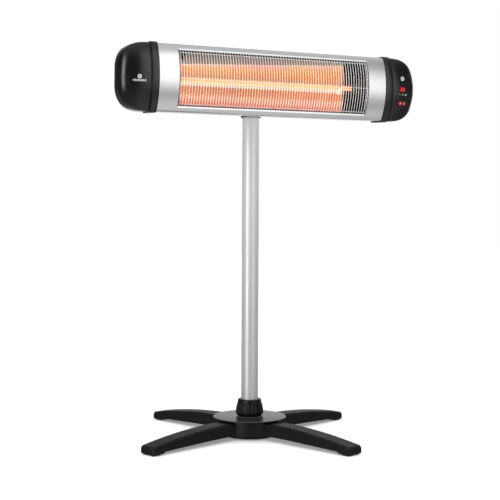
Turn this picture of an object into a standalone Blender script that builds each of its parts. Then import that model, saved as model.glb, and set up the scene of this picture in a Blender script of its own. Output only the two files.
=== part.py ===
"""Floor-standing infrared heater: four-legged base, clamped mast and a tilting heater head.

Metres, +Z up. The origin is on the floor under the mast, the head lies along X and heats towards -Y.
"""
import math

import bmesh
import bpy
from mathutils import Matrix, Vector

GAP = 0.0003                 # clearance between two pieces that touch

# Base
LEG_COUNT = 4
LEG_FIRST_ANGLE = math.radians(23.4)
LEG_REACH = 0.3372            # mast axis to leg tip
LEG_WIDTH = 0.0474
LEG_CREST_R = 0.085          # where a leg is highest
LEG_CREST_Z = 0.0432
LEG_TIP_Z = 0.0206           # top of the leg at its tip
LEG_CHAMFER = 0.004
LEG_ARCH_Z = 0.0120          # underside next to the hub
LEG_HEEL_Z = 0.0072          # underside where the foot starts
FOOT_LENGTH = 0.032
FOOT_SLOPE = 0.005
PAD_INSET = 0.005
PAD_THICKNESS = 0.0030
TENON_WIDTH = 0.030
TENON_LOW_Z = 0.016
TENON_HIGH_Z = 0.036
TENON_INNER_R = 0.032
LEG_SCREW_R = 0.043
LEG_SCREW_HOLE = 0.0028      # hole for its shank
LEG_SCREW_HEAD = 0.0055
LEG_SCREW_HEAD_Z = 0.0085    # the head's seat
HUB_RADIUS = 0.076
HUB_FOOT_RADIUS = 0.062      # narrower disc under the legs
HUB_FOOT_HIGH_Z = 0.0115
HUB_LOW_Z = 0.002
HUB_HIGH_Z = 0.046
HUB_BORE = 0.020             # hole under the sleeve's seat
SLEEVE_SEAT_Z = 0.0125
COVER_RADIUS = 0.0905
COVER_THICKNESS = 0.0016
COVER_DROOP = 0.0016

# Mast and its clamp
MAST_RADIUS = 0.021
MAST_WALL = 0.0015
MAST_LOW_Z = 0.0143
MAST_HIGH_Z = 0.8177
SLEEVE_RADIUS = 0.0256
SLEEVE_HIGH_Z = 0.082
SLEEVE_FLOOR = 0.0012        # thickness of its closed foot
SLIT_LOW_Z = 0.066
SLIT_WIDTH = 0.002
FLANGE_RADIUS = 0.040
FLANGE_THICKNESS = 0.003
NUT_LOW_Z = 0.0515
NUT_HIGH_Z = 0.0925
NUT_FLUTES = 20
NUT_SHOULDER = 0.006         # the nut's inner shoulder above the sleeve
WEDGE_HEIGHT = 0.004
FITTING_RADIUS = 0.0248
FITTING_LOW_Z = 0.7885
FITTING_HIGH_Z = 0.8297

# Tilt joint
PIVOT_Z = 0.8644
HEAD_TILT = math.radians(2.4)
HEAD_REACH = 0.136           # tilt axis to the middle of the head
TONGUE_HALF = 0.012
TONGUE_RADIUS = 0.016
WASHER_THICKNESS = 0.001
EAR_THICKNESS = 0.0025
BOLT_RADIUS = 0.004
EAR_RADIUS = 0.015

# Head section: y is forward-negative, so the crown is at -FRONT_DEPTH and the back at +BACK_DEPTH
HALF_HEIGHT = 0.0769
FRONT_DEPTH = 0.0265
BACK_DEPTH = 0.056
HEAD_BACK_Y = BACK_DEPTH - HEAD_REACH
FRONT_RADIUS = 0.14875
EDGE_RADIUS = 0.010
BACK_RADIUS = 0.016
WALL = 0.002
HOUSING_HALF = 0.301
WINDOW_HALF_WIDTH = 0.2386
WINDOW_HALF_HEIGHT = 0.063

# Caps
CAP_START = 0.2896
CAP_RIM_END = 0.3054
CAP_GROOVE_END = 0.3084
CAP_DOME_START = 0.3091
CAP_END = 0.381
CAP_RIM_PROUD = 0.003
CAP_WALL = 0.0026
CAP_POWER = 2.63              # exponent of the cap's rounded outline
CAP_CENTRE_Y = 0.012         # the cap's rings shrink towards this line
CAP_SCREW_X = 0.2953
CAP_SCREW_Z = 0.040
BRACKET_SCREW_Z = 0.020
SCREW_HOLE = 0.0023          # hole for a screw in the housing and the caps

# Behind the window
BULKHEAD_X = 0.2565
BULKHEAD_THICKNESS = 0.0012
LEAD_HOLE = 0.004            # radius of the hole for a lead in a bulkhead
REFLECTOR_LEFT = -0.2324
REFLECTOR_RIGHT = 0.182
REFLECTOR_LIP_Y = -0.003
REFLECTOR_LIP_Z = 0.0595
REFLECTOR_BACK_Y = 0.044
REFLECTOR_SHEET = 0.001
REFLECTOR_HOLE = 0.0085      # radius of the tube's hole in the right cheek
TUBE_Y = 0.008
TUBE_Z = -0.001
TUBE_RADIUS = 0.0055
TUBE_WALL = 0.0012
FILAMENT_RADIUS = 0.0030
TUBE_LEFT = -0.2334
TUBE_RIGHT = 0.2143
SOCKET_LENGTH = 0.022
SOCKET_HALF = 0.0105
BRACKET_SHEET = 0.0015
BRACKET_DROP = 0.018         # the bracket's foot below its shelf
LEAD_RADIUS = 0.0014
LEAD_Y = 0.0495              # the leads run behind the reflector
LEAD_Z = 0.012
GLAND_X = 0.322              # cord entry in the back of the right cap
GLAND_Z = -0.040
GLAND_RADIUS = 0.0075
GUARD_WIRES = 71
GUARD_PITCH = 0.00675
GUARD_WIRE = 0.0018
GUARD_DEPTH = 0.0035         # wire centres behind the housing's front surface
GUARD_RAIL_Z = 0.058
GUARD_END_Z = 0.0675
GUARD_HALF_LENGTH = 0.256   # the rails end at the bulkheads

# Controls on the right cap: centre (x, z) and size
PANEL_BOX = (0.3185, 0.3575, -0.048, 0.0395)
POWER_AT = (0.3351, 0.0266)
POWER_RADIUS = 0.0062
DISPLAY_AT = (0.336, 0.0008)
DISPLAY_SIZE = (0.0160, 0.0124)
SMALL_BUTTON_Z = -0.0117
SMALL_BUTTON_X = (0.3275, 0.3360, 0.3445)
SMALL_RADIUS = 0.0028
SWITCH_AT = (0.336, -0.0332)
SWITCH_SIZE = (0.0300, 0.0150)
BUTTON_DEPTH = 0.006
BUTTON_PROUD = 0.0009
PANEL_CORNER = 0.006
KEY_CORNER = 0.001           # corner of the display and of the switch
ROCKER_AXIS_DEPTH = 0.004
ROCKER_ON = math.radians(9)  # the rocker rests with its right end pressed


def clear_scene():
    for obj in list(bpy.data.objects):
        bpy.data.objects.remove(obj, do_unlink=True)


def finish_material(name, color, roughness, metallic, emission=None):
    """Return the named material, made once."""
    mat = bpy.data.materials.get(name)
    if mat is None:
        mat = bpy.data.materials.new(name)
        mat.use_nodes = True
        shader = mat.node_tree.nodes["Principled BSDF"]
        shader.inputs["Base Color"].default_value = (*color, 1.0)
        shader.inputs["Roughness"].default_value = roughness
        shader.inputs["Metallic"].default_value = metallic
        if emission:
            shader.inputs["Emission Color"].default_value = (*emission, 1.0)
            shader.inputs["Emission Strength"].default_value = 2.0
    return mat


def black_plastic():
    return finish_material("black_plastic", (0.018, 0.018, 0.020), 0.38, 0.0)


def gloss_panel():
    return finish_material("gloss_panel", (0.010, 0.010, 0.011), 0.12, 0.0)


def base_plastic():
    return finish_material("base_plastic", (0.015, 0.014, 0.014), 0.50, 0.0)


def satin_aluminium():
    return finish_material("satin_aluminium", (0.72, 0.72, 0.73), 0.34, 1.0)


def silver_paint():
    return finish_material("silver_paint", (0.60, 0.60, 0.61), 0.42, 0.6)


def bright_reflector():
    return finish_material("bright_reflector", (0.90, 0.89, 0.87), 0.12, 1.0)


def steel():
    return finish_material("steel", (0.62, 0.62, 0.63), 0.30, 1.0)


def cover_steel():
    return finish_material("cover_steel", (0.05, 0.05, 0.052), 0.36, 0.7)


def black_steel():
    return finish_material("black_steel", (0.02, 0.02, 0.02), 0.55, 0.4)


def rubber():
    return finish_material("rubber", (0.012, 0.012, 0.012), 0.85, 0.0)


def quartz():
    return finish_material("quartz", (1.0, 0.62, 0.28), 0.05, 0.0, (1.0, 0.36, 0.06))


def hot_wire():
    return finish_material("hot_wire", (1.0, 0.55, 0.20), 0.40, 0.0, (1.0, 0.50, 0.12))


def dark_ceramic():
    return finish_material("dark_ceramic", (0.045, 0.042, 0.040), 0.65, 0.0)


def board_green():
    return finish_material("board_green", (0.02, 0.16, 0.07), 0.45, 0.0)


def red_display():
    return finish_material("red_display", (0.25, 0.0, 0.01), 0.15, 0.0, (1.0, 0.02, 0.03))


def red_switch():
    return finish_material("red_switch", (0.42, 0.02, 0.02), 0.22, 0.0)


def lead_silicone():
    return finish_material("lead_silicone", (0.55, 0.10, 0.06), 0.60, 0.0)


# Mesh helpers --------------------------------------------------------------------------------------

def arc(centre, radius, start, end, steps):
    """Points of an arc in a plane, both ends included."""
    points = []
    for i in range(steps + 1):
        angle = start + (end - start) * i / steps
        points.append((centre[0] + radius * math.cos(angle), centre[1] + radius * math.sin(angle)))
    return points


def loft(rings, closed=False):
    """Join rings of equally many points, and cap the first and the last unless the loft is closed."""
    bm = bmesh.new()
    rows = [[bm.verts.new(point) for point in ring] for ring in rings]
    count = len(rows[0])
    pairs = list(zip(rows, rows[1:]))
    if closed:
        pairs.append((rows[-1], rows[0]))
    for low, high in pairs:
        for i in range(count):
            j = (i + 1) % count
            bm.faces.new((low[i], low[j], high[j], high[i]))
    if not closed:
        bm.faces.new(rows[0])
        bm.faces.new(rows[-1])
    bmesh.ops.recalc_face_normals(bm, faces=bm.faces)
    return bm


def lathe(profile, segments=32):
    """Turn a profile of (radius, z) about Z. A profile off the axis is closed into a ring."""
    rings = []
    for k in range(segments):
        angle = 2 * math.pi * k / segments
        rings.append([(r * math.cos(angle), r * math.sin(angle), z) for r, z in profile])
    bm = loft(rings, closed=True)
    bmesh.ops.remove_doubles(bm, verts=bm.verts, dist=1e-7)
    bmesh.ops.dissolve_degenerate(bm, dist=1e-7, edges=bm.edges)
    bmesh.ops.recalc_face_normals(bm, faces=bm.faces)
    return bm


def rod(radius, low, high, segments=16):
    """A closed cylinder along Z."""
    return prism(arc((0, 0), radius, 0, 2 * math.pi * (segments - 1) / segments, segments - 1), low, high)


def prism(outline, low, high):
    """Extrude an outline in XY from one height to another."""
    return loft([[(x, y, low) for x, y in outline], [(x, y, high) for x, y in outline]])


def block(x_range, y_range, z_range):
    corners = [(x_range[0], y_range[0]), (x_range[1], y_range[0]),
               (x_range[1], y_range[1]), (x_range[0], y_range[1])]
    return prism(corners, *z_range)


def rounded_rectangle(width, height, radius, steps=4):
    """Outline of a rectangle with round corners, centred on the origin."""
    points = []
    corner_x, corner_y = width / 2 - radius, height / 2 - radius
    signs = ((1, 1), (-1, 1), (-1, -1), (1, -1))
    for k, (sx, sy) in enumerate(signs):
        start = k * math.pi / 2
        points += arc((sx * corner_x, sy * corner_y), radius, start, start + math.pi / 2, steps)
    return points


def gather(*meshes):
    """Put separate closed shapes into one mesh, for a cutter with several places."""
    whole = bmesh.new()
    for bm in meshes:
        mesh = bpy.data.meshes.new("shape")
        bm.to_mesh(mesh)
        bm.free()
        whole.from_mesh(mesh)
        bpy.data.meshes.remove(mesh)
    return whole


def moved(bm, matrix):
    bmesh.ops.transform(bm, matrix=matrix, verts=bm.verts)
    return bm


def shifted(bm, x=0.0, y=0.0, z=0.0):
    return moved(bm, Matrix.Translation((x, y, z)))


ALONG_X = Matrix.Rotation(math.pi / 2, 4, "Y")      # turns +Z to +X
ALONG_Y = Matrix.Rotation(-math.pi / 2, 4, "X")     # turns +Z to +Y
EDGE_TO_X = Matrix(((0, 0, 1, 0), (1, 0, 0, 0), (0, 1, 0, 0), (0, 0, 0, 1)))  # outline in XY to YZ


def place(name, bm, mat, parent=None, matrix=None, smooth=True):
    """Make an object of a mesh, in its parent's frame."""
    mesh = bpy.data.meshes.new(name)
    bm.to_mesh(mesh)
    bm.free()
    if mat:
        mesh.materials.append(mat)
    if smooth:
        mesh.shade_smooth()
        mesh.set_sharp_from_angle(angle=math.radians(35))
    obj = bpy.data.objects.new(name, mesh)
    bpy.context.collection.objects.link(obj)
    obj.parent = parent
    if matrix:
        obj.matrix_basis = matrix
    return obj


def combine(obj, bm, operation="DIFFERENCE"):
    """Apply a shape in the object's own frame to it, as a hidden Boolean operand."""
    tool = place(f"{obj.name}_{operation.lower()}_{len(obj.modifiers)}", bm, None, obj, smooth=False)
    tool.hide_render = True
    tool.display_type = "WIRE"
    boolean = obj.modifiers.new(operation.title(), "BOOLEAN")
    boolean.operation = operation
    boolean.object = tool
    boolean.solver = "EXACT"
    return obj


def bevel(obj, width, segments=2, angle=40):
    mod = obj.modifiers.new("Bevel", "BEVEL")
    mod.width = width
    mod.segments = segments
    mod.limit_method = "ANGLE"
    mod.angle_limit = math.radians(angle)
    mod.use_clamp_overlap = True
    return obj


def empty(name, location, rotation=(0, 0, 0), parent=None):
    obj = bpy.data.objects.new(name, None)
    bpy.context.collection.objects.link(obj)
    obj.location = location
    obj.rotation_euler = rotation
    obj.parent = parent
    return obj


def screw_mesh(head_radius, head_height, shank_radius, shank_length, segments=8):
    """A pan-head screw: the shank runs down from the origin, the head stands above it."""
    profile = [(0, -shank_length), (shank_radius, -shank_length), (shank_radius, 0),
               (head_radius, 0), (head_radius * 0.8, head_height), (0, head_height)]
    return lathe(profile, segments)


# Base ----------------------------------------------------------------------------------------------

def leg_top(r):
    """Height of the leg's arched top at a distance from the mast."""
    fall = (LEG_CREST_Z - LEG_TIP_Z) / (LEG_REACH - LEG_CREST_R) ** 2
    return LEG_CREST_Z - fall * (r - LEG_CREST_R) ** 2


def leg_outline():
    """Side view of a leg as (r, z): tenon, arched top, tip, foot and arched underside."""
    root = HUB_RADIUS + GAP
    heel = LEG_REACH - FOOT_LENGTH
    points = [(TENON_INNER_R, TENON_LOW_Z), (TENON_INNER_R, TENON_HIGH_Z), (root, TENON_HIGH_Z)]
    steps = 10
    tip = LEG_REACH - LEG_CHAMFER
    points += [(root + (tip - root) * i / steps, leg_top(root + (tip - root) * i / steps))
               for i in range(steps + 1)]
    points += [(LEG_REACH, LEG_TIP_Z - LEG_CHAMFER), (LEG_REACH, PAD_THICKNESS + GAP)]
    points += [(heel, PAD_THICKNESS + GAP), (heel - FOOT_SLOPE, LEG_HEEL_Z)]
    arch = 6
    for i in range(1, arch + 1):
        r = heel - FOOT_SLOPE + (root - heel + FOOT_SLOPE) * i / arch
        rise = math.sin(math.pi / 2 * i / arch)
        points.append((r, LEG_HEEL_Z + (LEG_ARCH_Z - LEG_HEEL_Z) * rise))
    points.append((root, TENON_LOW_Z))
    return points


def leg_mesh():
    """A leg along +X. The tenon is the narrow part inside the hub."""
    outline = leg_outline()
    body = [(r, z) for r, z in outline if r >= HUB_RADIUS]
    upright = Matrix.Rotation(math.pi / 2, 4, "X")
    bm = moved(prism(body, -LEG_WIDTH / 2, LEG_WIDTH / 2), upright)
    top_edges = [e for e in bm.edges if all(v.co.z > LEG_TIP_Z - 2 * LEG_CHAMFER for v in e.verts)
                 and abs(e.verts[0].co.y - e.verts[1].co.y) < 1e-6
                 and e.verts[0].co.x != e.verts[1].co.x]
    bmesh.ops.bevel(bm, geom=top_edges, offset=LEG_CHAMFER, segments=2, profile=0.6,
                    affect="EDGES", clamp_overlap=True)
    return bm


def tenon_mesh(slack=0.0):
    outer = HUB_RADIUS + 0.004
    return block((TENON_INNER_R - slack, outer),
                 (-TENON_WIDTH / 2 - slack, TENON_WIDTH / 2 + slack),
                 (TENON_LOW_Z - slack, TENON_HIGH_Z + slack))


def pad_mesh():
    """Rubber pad under a foot, along +X."""
    inner = LEG_REACH - FOOT_LENGTH + PAD_INSET
    outer = LEG_REACH - PAD_INSET
    half = LEG_WIDTH / 2 - PAD_INSET
    return block((inner, outer), (-half, half), (0.0, PAD_THICKNESS))


def leg_turn(k):
    return Matrix.Rotation(LEG_FIRST_ANGLE + k * 2 * math.pi / LEG_COUNT, 4, "Z")


def make_legs():
    for k in range(LEG_COUNT):
        turn = leg_turn(k)
        leg = place(f"leg_{k + 1}", leg_mesh(), base_plastic(), matrix=turn)
        combine(leg, tenon_mesh(), "UNION")
        combine(leg, shifted(rod(LEG_SCREW_HOLE, 0.008, 0.030, 10), x=LEG_SCREW_R))
        pad = place(f"foot_pad_{k + 1}", pad_mesh(), rubber(), matrix=turn)
        bevel(pad, 0.001, 1)
        screw = screw_mesh(LEG_SCREW_HEAD, 0.003, LEG_SCREW_HOLE - GAP, 0.018)
        screw = shifted(moved(screw, Matrix.Rotation(math.pi, 4, "X")), x=LEG_SCREW_R, z=LEG_SCREW_HEAD_Z)
        place(f"leg_screw_{k + 1}", screw, steel(), matrix=turn)


def make_hub():
    """Drum with a pocket for each leg's tenon, a counterbored hole under it and a middle bore."""
    profile = [(SLEEVE_RADIUS + GAP, SLEEVE_SEAT_Z), (HUB_BORE, SLEEVE_SEAT_Z), (HUB_BORE, HUB_LOW_Z),
               (HUB_FOOT_RADIUS - 0.001, HUB_LOW_Z), (HUB_FOOT_RADIUS, HUB_LOW_Z + 0.001),
               (HUB_FOOT_RADIUS, HUB_FOOT_HIGH_Z), (HUB_RADIUS, HUB_FOOT_HIGH_Z), (HUB_RADIUS, HUB_HIGH_Z),
               (SLEEVE_RADIUS + GAP, HUB_HIGH_Z)]
    hub = place("hub", lathe(profile, 32), base_plastic())
    wide, seat = LEG_SCREW_HEAD + 0.0005, LEG_SCREW_HEAD_Z + GAP
    bore = [(0, -0.002), (wide, -0.002), (wide, seat), (LEG_SCREW_HOLE, seat),
            (LEG_SCREW_HOLE, 0.020), (0, 0.020)]
    pockets = [moved(tenon_mesh(GAP), leg_turn(k)) for k in range(LEG_COUNT)]
    holes = [moved(shifted(lathe(bore, 10), x=LEG_SCREW_R), leg_turn(k)) for k in range(LEG_COUNT)]
    combine(hub, gather(*pockets))
    combine(hub, gather(*holes))


def make_hub_cover():
    """Shallow domed disc that hides the sleeve's flange."""
    low = HUB_HIGH_Z + 2 * GAP + FLANGE_THICKNESS
    inner = SLEEVE_RADIUS + 2 * GAP
    steps = 2
    flat = FLANGE_RADIUS + 0.004
    dome = [(flat + (COVER_RADIUS - flat) * i / steps, COVER_DROOP * (i / steps) ** 2)
            for i in range(steps + 1)]
    under = [(inner, low)] + [(r, low - drop) for r, drop in dome]
    top = [(r, low - drop + COVER_THICKNESS) for r, drop in reversed(dome)]
    top[0] = (COVER_RADIUS - 0.0006, top[0][1])
    edge = [(COVER_RADIUS, low - COVER_DROOP + COVER_THICKNESS * 0.6)]
    place("hub_cover", lathe(under + edge + top + [(inner, low + COVER_THICKNESS)], 36), cover_steel())


def make_clamp_sleeve():
    """Threaded split sleeve that holds the mast, with a flange on the hub."""
    bore = MAST_RADIUS + GAP
    flange_low = HUB_HIGH_Z + GAP
    foot = SLEEVE_SEAT_Z + GAP
    profile = [(0, foot), (SLEEVE_RADIUS, foot), (SLEEVE_RADIUS, flange_low),
               (FLANGE_RADIUS, flange_low), (FLANGE_RADIUS, flange_low + FLANGE_THICKNESS),
               (SLEEVE_RADIUS, flange_low + FLANGE_THICKNESS), (SLEEVE_RADIUS, SLEEVE_HIGH_Z),
               (bore, SLEEVE_HIGH_Z), (bore, foot + SLEEVE_FLOOR), (0, foot + SLEEVE_FLOOR)]
    sleeve = place("clamp_sleeve", lathe(profile, 24), black_plastic())
    across = (-SLEEVE_RADIUS - 0.005, SLEEVE_RADIUS + 0.005)
    slit = (-SLIT_WIDTH / 2, SLIT_WIDTH / 2)
    height = (SLIT_LOW_Z, SLEEVE_HIGH_Z + 0.008)
    combine(sleeve, block(across, slit, height))
    combine(sleeve, block(slit, across, height))


def make_wedge_ring():
    """Tapered ring that the nut presses against the mast."""
    low = SLEEVE_HIGH_Z + GAP
    high = low + WEDGE_HEIGHT
    profile = [(MAST_RADIUS + GAP, low), (SLEEVE_RADIUS - 0.0006, low),
               (SLEEVE_RADIUS - 0.0016, high), (MAST_RADIUS + GAP, high)]
    place("wedge_ring", lathe(profile, 24), black_plastic())


def fluted_ring(radius, depth, z):
    """A ring of shallow flutes: three points to a flute, two of them on the rib."""
    points = []
    count = NUT_FLUTES * 3
    for i in range(count):
        angle = 2 * math.pi * i / count
        r = radius if i % 3 < 2 else radius - depth
        points.append((r * math.cos(angle), r * math.sin(angle), z))
    return points


def make_clamp_nut(parent):
    """Bell-shaped, fluted clamp nut. Its inside clears the sleeve and the wedge ring."""
    inside = SLEEVE_RADIUS + 2 * GAP
    mouth = MAST_RADIUS + 0.0012
    shoulder = SLEEVE_HIGH_Z + NUT_SHOULDER
    rings = [fluted_ring(inside, 0, NUT_LOW_Z), fluted_ring(0.0287, 0, NUT_LOW_Z),
             fluted_ring(0.0345, 0.0016, NUT_LOW_Z + 0.0070),
             fluted_ring(0.0305, 0.0010, NUT_LOW_Z + 0.0320),
             fluted_ring(0.0284, 0, NUT_LOW_Z + 0.0355), fluted_ring(0.0272, 0, NUT_HIGH_Z),
             fluted_ring(mouth, 0, NUT_HIGH_Z), fluted_ring(mouth, 0, shoulder),
             fluted_ring(inside, 0, shoulder)]
    place("clamp_nut", loft(rings, closed=True), black_plastic(), parent)


# Mast ----------------------------------------------------------------------------------------------

def make_mast(parent):
    inner = MAST_RADIUS - MAST_WALL
    profile = [(inner, MAST_LOW_Z), (MAST_RADIUS, MAST_LOW_Z), (MAST_RADIUS, MAST_HIGH_Z),
               (inner, MAST_HIGH_Z)]
    place("mast_tube", lathe(profile, 36), silver_paint(), parent)
    plug_high = MAST_LOW_Z + 0.024
    plug = [(0.010, MAST_LOW_Z + 0.001), (inner - GAP, MAST_LOW_Z + 0.001), (inner - GAP, plug_high),
            (0.0155, plug_high), (0.0155, MAST_LOW_Z + 0.004), (0.010, MAST_LOW_Z + 0.004)]
    place("mast_plug", lathe(plug, 20), black_plastic(), parent)


def make_mast_fitting(parent):
    """Collar over the mast's top with a tongue for the tilt joint."""
    bore = MAST_RADIUS + GAP
    roof = MAST_HIGH_Z + GAP
    profile = [(bore, FITTING_LOW_Z), (FITTING_RADIUS - 0.0008, FITTING_LOW_Z),
               (FITTING_RADIUS, FITTING_LOW_Z + 0.0008), (FITTING_RADIUS, FITTING_HIGH_Z - 0.004),
               (FITTING_RADIUS - 0.005, FITTING_HIGH_Z), (0, FITTING_HIGH_Z), (0, roof), (bore, roof)]
    fitting = place("mast_fitting", lathe(profile, 24), black_plastic(), parent)
    foot = FITTING_HIGH_Z - 0.006
    outline = [(-TONGUE_RADIUS, foot - PIVOT_Z)]
    outline += arc((0, 0), TONGUE_RADIUS, math.pi, 0, 14)
    outline += [(TONGUE_RADIUS, foot - PIVOT_Z)]
    tongue = moved(prism(outline, -TONGUE_HALF, TONGUE_HALF), EDGE_TO_X)
    combine(fitting, shifted(tongue, z=PIVOT_Z), "UNION")
    combine(fitting, shifted(moved(rod(BOLT_RADIUS + GAP, -0.02, 0.02), ALONG_X), z=PIVOT_Z))
    screw_z = (FITTING_LOW_Z + MAST_HIGH_Z) / 2
    combine(fitting, shifted(moved(rod(0.0022, 0.015, 0.030, 12), ALONG_Y), z=screw_z))
    screw = moved(screw_mesh(0.0038, 0.0022, 0.0019, 0.0032), ALONG_Y)
    place("fitting_screw", shifted(screw, y=FITTING_RADIUS + GAP, z=screw_z), steel(), parent)


# Head section --------------------------------------------------------------------------------------

def head_outline(offset=0.0):
    """The head's section as (y, z), moved outwards by offset: a crowned front, round edges, flat back."""
    front_centre = FRONT_RADIUS - FRONT_DEPTH
    edge_z = HALF_HEIGHT - EDGE_RADIUS
    edge_y = front_centre - math.sqrt((FRONT_RADIUS - EDGE_RADIUS) ** 2 - edge_z ** 2)
    spread = math.atan2(edge_z, front_centre - edge_y)
    back_y = BACK_DEPTH - BACK_RADIUS
    back_z = HALF_HEIGHT - BACK_RADIUS
    half = math.pi / 2
    points = arc((front_centre, 0), FRONT_RADIUS + offset, math.pi + spread, math.pi - spread, 8)
    points += arc((edge_y, edge_z), EDGE_RADIUS + offset, math.pi - spread, half, 2)[1:]
    points += arc((back_y, back_z), BACK_RADIUS + offset, half, 0, 3)
    points += arc((back_y, -back_z), BACK_RADIUS + offset, 0, -half, 3)
    points += arc((edge_y, -edge_z), EDGE_RADIUS + offset, -half, spread - math.pi, 2)[:-1]
    return points


def head_ring(x, offset=0.0, scale=1.0):
    """The section at x, shrunk towards the cap's middle line."""
    return [(x, CAP_CENTRE_Y + (y - CAP_CENTRE_Y) * scale, z * scale) for y, z in head_outline(offset)]


def make_housing(parent):
    rings = [head_ring(-HOUSING_HALF), head_ring(HOUSING_HALF),
             head_ring(HOUSING_HALF, -WALL), head_ring(-HOUSING_HALF, -WALL)]
    housing = place("housing", loft(rings, closed=True), satin_aluminium(), parent)
    combine(housing, block((-WINDOW_HALF_WIDTH, WINDOW_HALF_WIDTH), (-0.040, 0.004),
                           (-WINDOW_HALF_HEIGHT, WINDOW_HALF_HEIGHT)))
    holes = [shifted(moved(rod(SCREW_HOLE, 0.045, 0.065, 12), ALONG_Y), x=x, z=z)
             for x, z in cap_screw_places() + bracket_screw_places()]
    combine(housing, gather(*holes))


def cap_screw_places():
    return [(sx * CAP_SCREW_X, sz * CAP_SCREW_Z) for sx in (-1, 1) for sz in (-1, 1)]


def bracket_screw_places():
    return [(0.0, BRACKET_SCREW_Z), (0.0, -BRACKET_SCREW_Z)]


# Caps ----------------------------------------------------------------------------------------------

def cap_scale(t):
    """Size of the cap's ring at a fraction of its dome's length."""
    return (1 - t ** CAP_POWER) ** (1 / CAP_POWER)


def cap_rings(side):
    """From the inner tip out to the mouth, back over the rim and to the outer tip."""
    outer_steps = (0.22, 0.45, 0.64, 0.80, 0.91, 0.97, 0.995)
    inner_steps = (0.97, 0.88, 0.70, 0.45, 0.0)
    length = CAP_END - CAP_DOME_START
    inner_length = length - CAP_WALL
    rings = [head_ring(CAP_DOME_START + inner_length * t, -CAP_WALL, cap_scale(t)) for t in inner_steps]
    shoulder = HOUSING_HALF + GAP
    rings += [head_ring(shoulder, -CAP_WALL), head_ring(shoulder, GAP), head_ring(CAP_START, GAP)]
    rings += [head_ring(CAP_START, CAP_RIM_PROUD), head_ring(CAP_RIM_END, CAP_RIM_PROUD)]
    rings.append(head_ring(CAP_RIM_END + 0.0014, -0.0006))
    rings += [head_ring(CAP_GROOVE_END, -0.0006), head_ring(CAP_DOME_START, 0.0005)]
    rings += [head_ring(CAP_DOME_START + length * t, 0.0005, cap_scale(t)) for t in outer_steps]
    return [[(side * x, y, z) for x, y, z in ring] for ring in rings]


def cap_mesh(side):
    return loft(cap_rings(side))


def cap_front(x, z):
    """y of the cap's front surface at a place on the right dome."""
    scale = cap_scale((x - CAP_DOME_START) / (CAP_END - CAP_DOME_START))
    front_centre = FRONT_RADIUS - FRONT_DEPTH
    y = front_centre - math.sqrt((FRONT_RADIUS + 0.0005) ** 2 - (z / scale) ** 2)
    return CAP_CENTRE_Y + (y - CAP_CENTRE_Y) * scale


def control_frame(x, z):
    """Frame on the right cap's front: +Z out of the surface, +X to the right along it."""
    step = 0.001
    origin = Vector((x, cap_front(x, z), z))
    along = Vector((2 * step, cap_front(x + step, z) - cap_front(x - step, z), 0)).normalized()
    rise = Vector((0, cap_front(x, z + step) - cap_front(x, z - step), 2 * step)).normalized()
    normal = along.cross(rise).normalized()
    up = normal.cross(along)
    frame = Matrix((along, up, normal)).transposed().to_4x4()
    frame.translation = origin
    return frame


def panel_cutter(slack):
    """Prism through the cap's front wall with the control panel's outline."""
    x_low, x_high, z_low, z_high = PANEL_BOX
    outline = rounded_rectangle(x_high - x_low + 2 * slack, z_high - z_low + 2 * slack,
                                PANEL_CORNER + slack)
    forward = Matrix.Rotation(math.pi / 2, 4, "X")
    shape = moved(prism(outline, -0.002, 0.045), forward)
    return shifted(shape, x=(x_low + x_high) / 2, z=(z_low + z_high) / 2)


def make_caps(parent):
    names = {-1: "left_cap", 1: "right_cap"}
    for side, name in names.items():
        cap = place(name, cap_mesh(side), black_plastic(), parent)
        holes = [shifted(moved(rod(SCREW_HOLE, 0.050, 0.070, 12), ALONG_Y), x=x, z=z)
                 for x, z in cap_screw_places() if x * side > 0]
        combine(cap, gather(*holes))
        if side > 0:
            combine(cap, panel_cutter(GAP))
            entry = moved(rod(GLAND_RADIUS + GAP, 0.040, 0.070), ALONG_Y)
            combine(cap, shifted(entry, x=GLAND_X, z=GLAND_Z))
    for k, (x, z) in enumerate(cap_screw_places()):
        screw = moved(screw_mesh(0.0040, 0.0022, SCREW_HOLE - GAP, 0.0065), ALONG_Y)
        place(f"cap_screw_{k + 1}", shifted(screw, x=x, y=BACK_DEPTH + CAP_RIM_PROUD + GAP, z=z),
              steel(), parent)


def make_cable_gland(parent):
    """Strain-relief sleeve in the right cap's back, open for a cable."""
    wall = BACK_DEPTH - 0.003
    profile = [(0.0038, wall - 0.010), (GLAND_RADIUS, wall - 0.010), (GLAND_RADIUS, BACK_DEPTH + 0.0020),
               (0.0105, BACK_DEPTH + 0.0020), (0.0105, BACK_DEPTH + 0.0070), (0.0080, BACK_DEPTH + 0.0110),
               (0.0060, BACK_DEPTH + 0.0180), (0.0038, BACK_DEPTH + 0.0180)]
    place("cable_gland", shifted(moved(lathe(profile, 14), ALONG_Y), x=GLAND_X, z=GLAND_Z),
          black_plastic(), parent)


# Heating element -----------------------------------------------------------------------------------

def make_bulkheads(parent):
    """Sheet-steel walls between the heating space and the caps."""
    for side, name in ((-1, "left_bulkhead"), (1, "right_bulkhead")):
        near = side * BULKHEAD_X
        far = side * (BULKHEAD_X + BULKHEAD_THICKNESS)
        wall = loft([head_ring(near, -WALL - GAP), head_ring(far, -WALL - GAP)])
        plate = place(name, wall, black_steel(), parent)
        hole = shifted(moved(rod(LEAD_HOLE, -0.01, 0.01, 12), ALONG_X), x=near, y=LEAD_Y, z=LEAD_Z)
        combine(plate, hole)


def reflector_arc(extra=0.0, steps=16):
    """Section of the trough as (y, z), from the lower lip over the back to the upper lip."""
    depth = REFLECTOR_BACK_Y - REFLECTOR_LIP_Y
    radius = (REFLECTOR_LIP_Z ** 2 + depth ** 2) / (2 * depth)
    spread = math.asin(REFLECTOR_LIP_Z / radius)
    return arc((REFLECTOR_BACK_Y - radius, 0), radius + extra, -spread, spread, steps)


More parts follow.
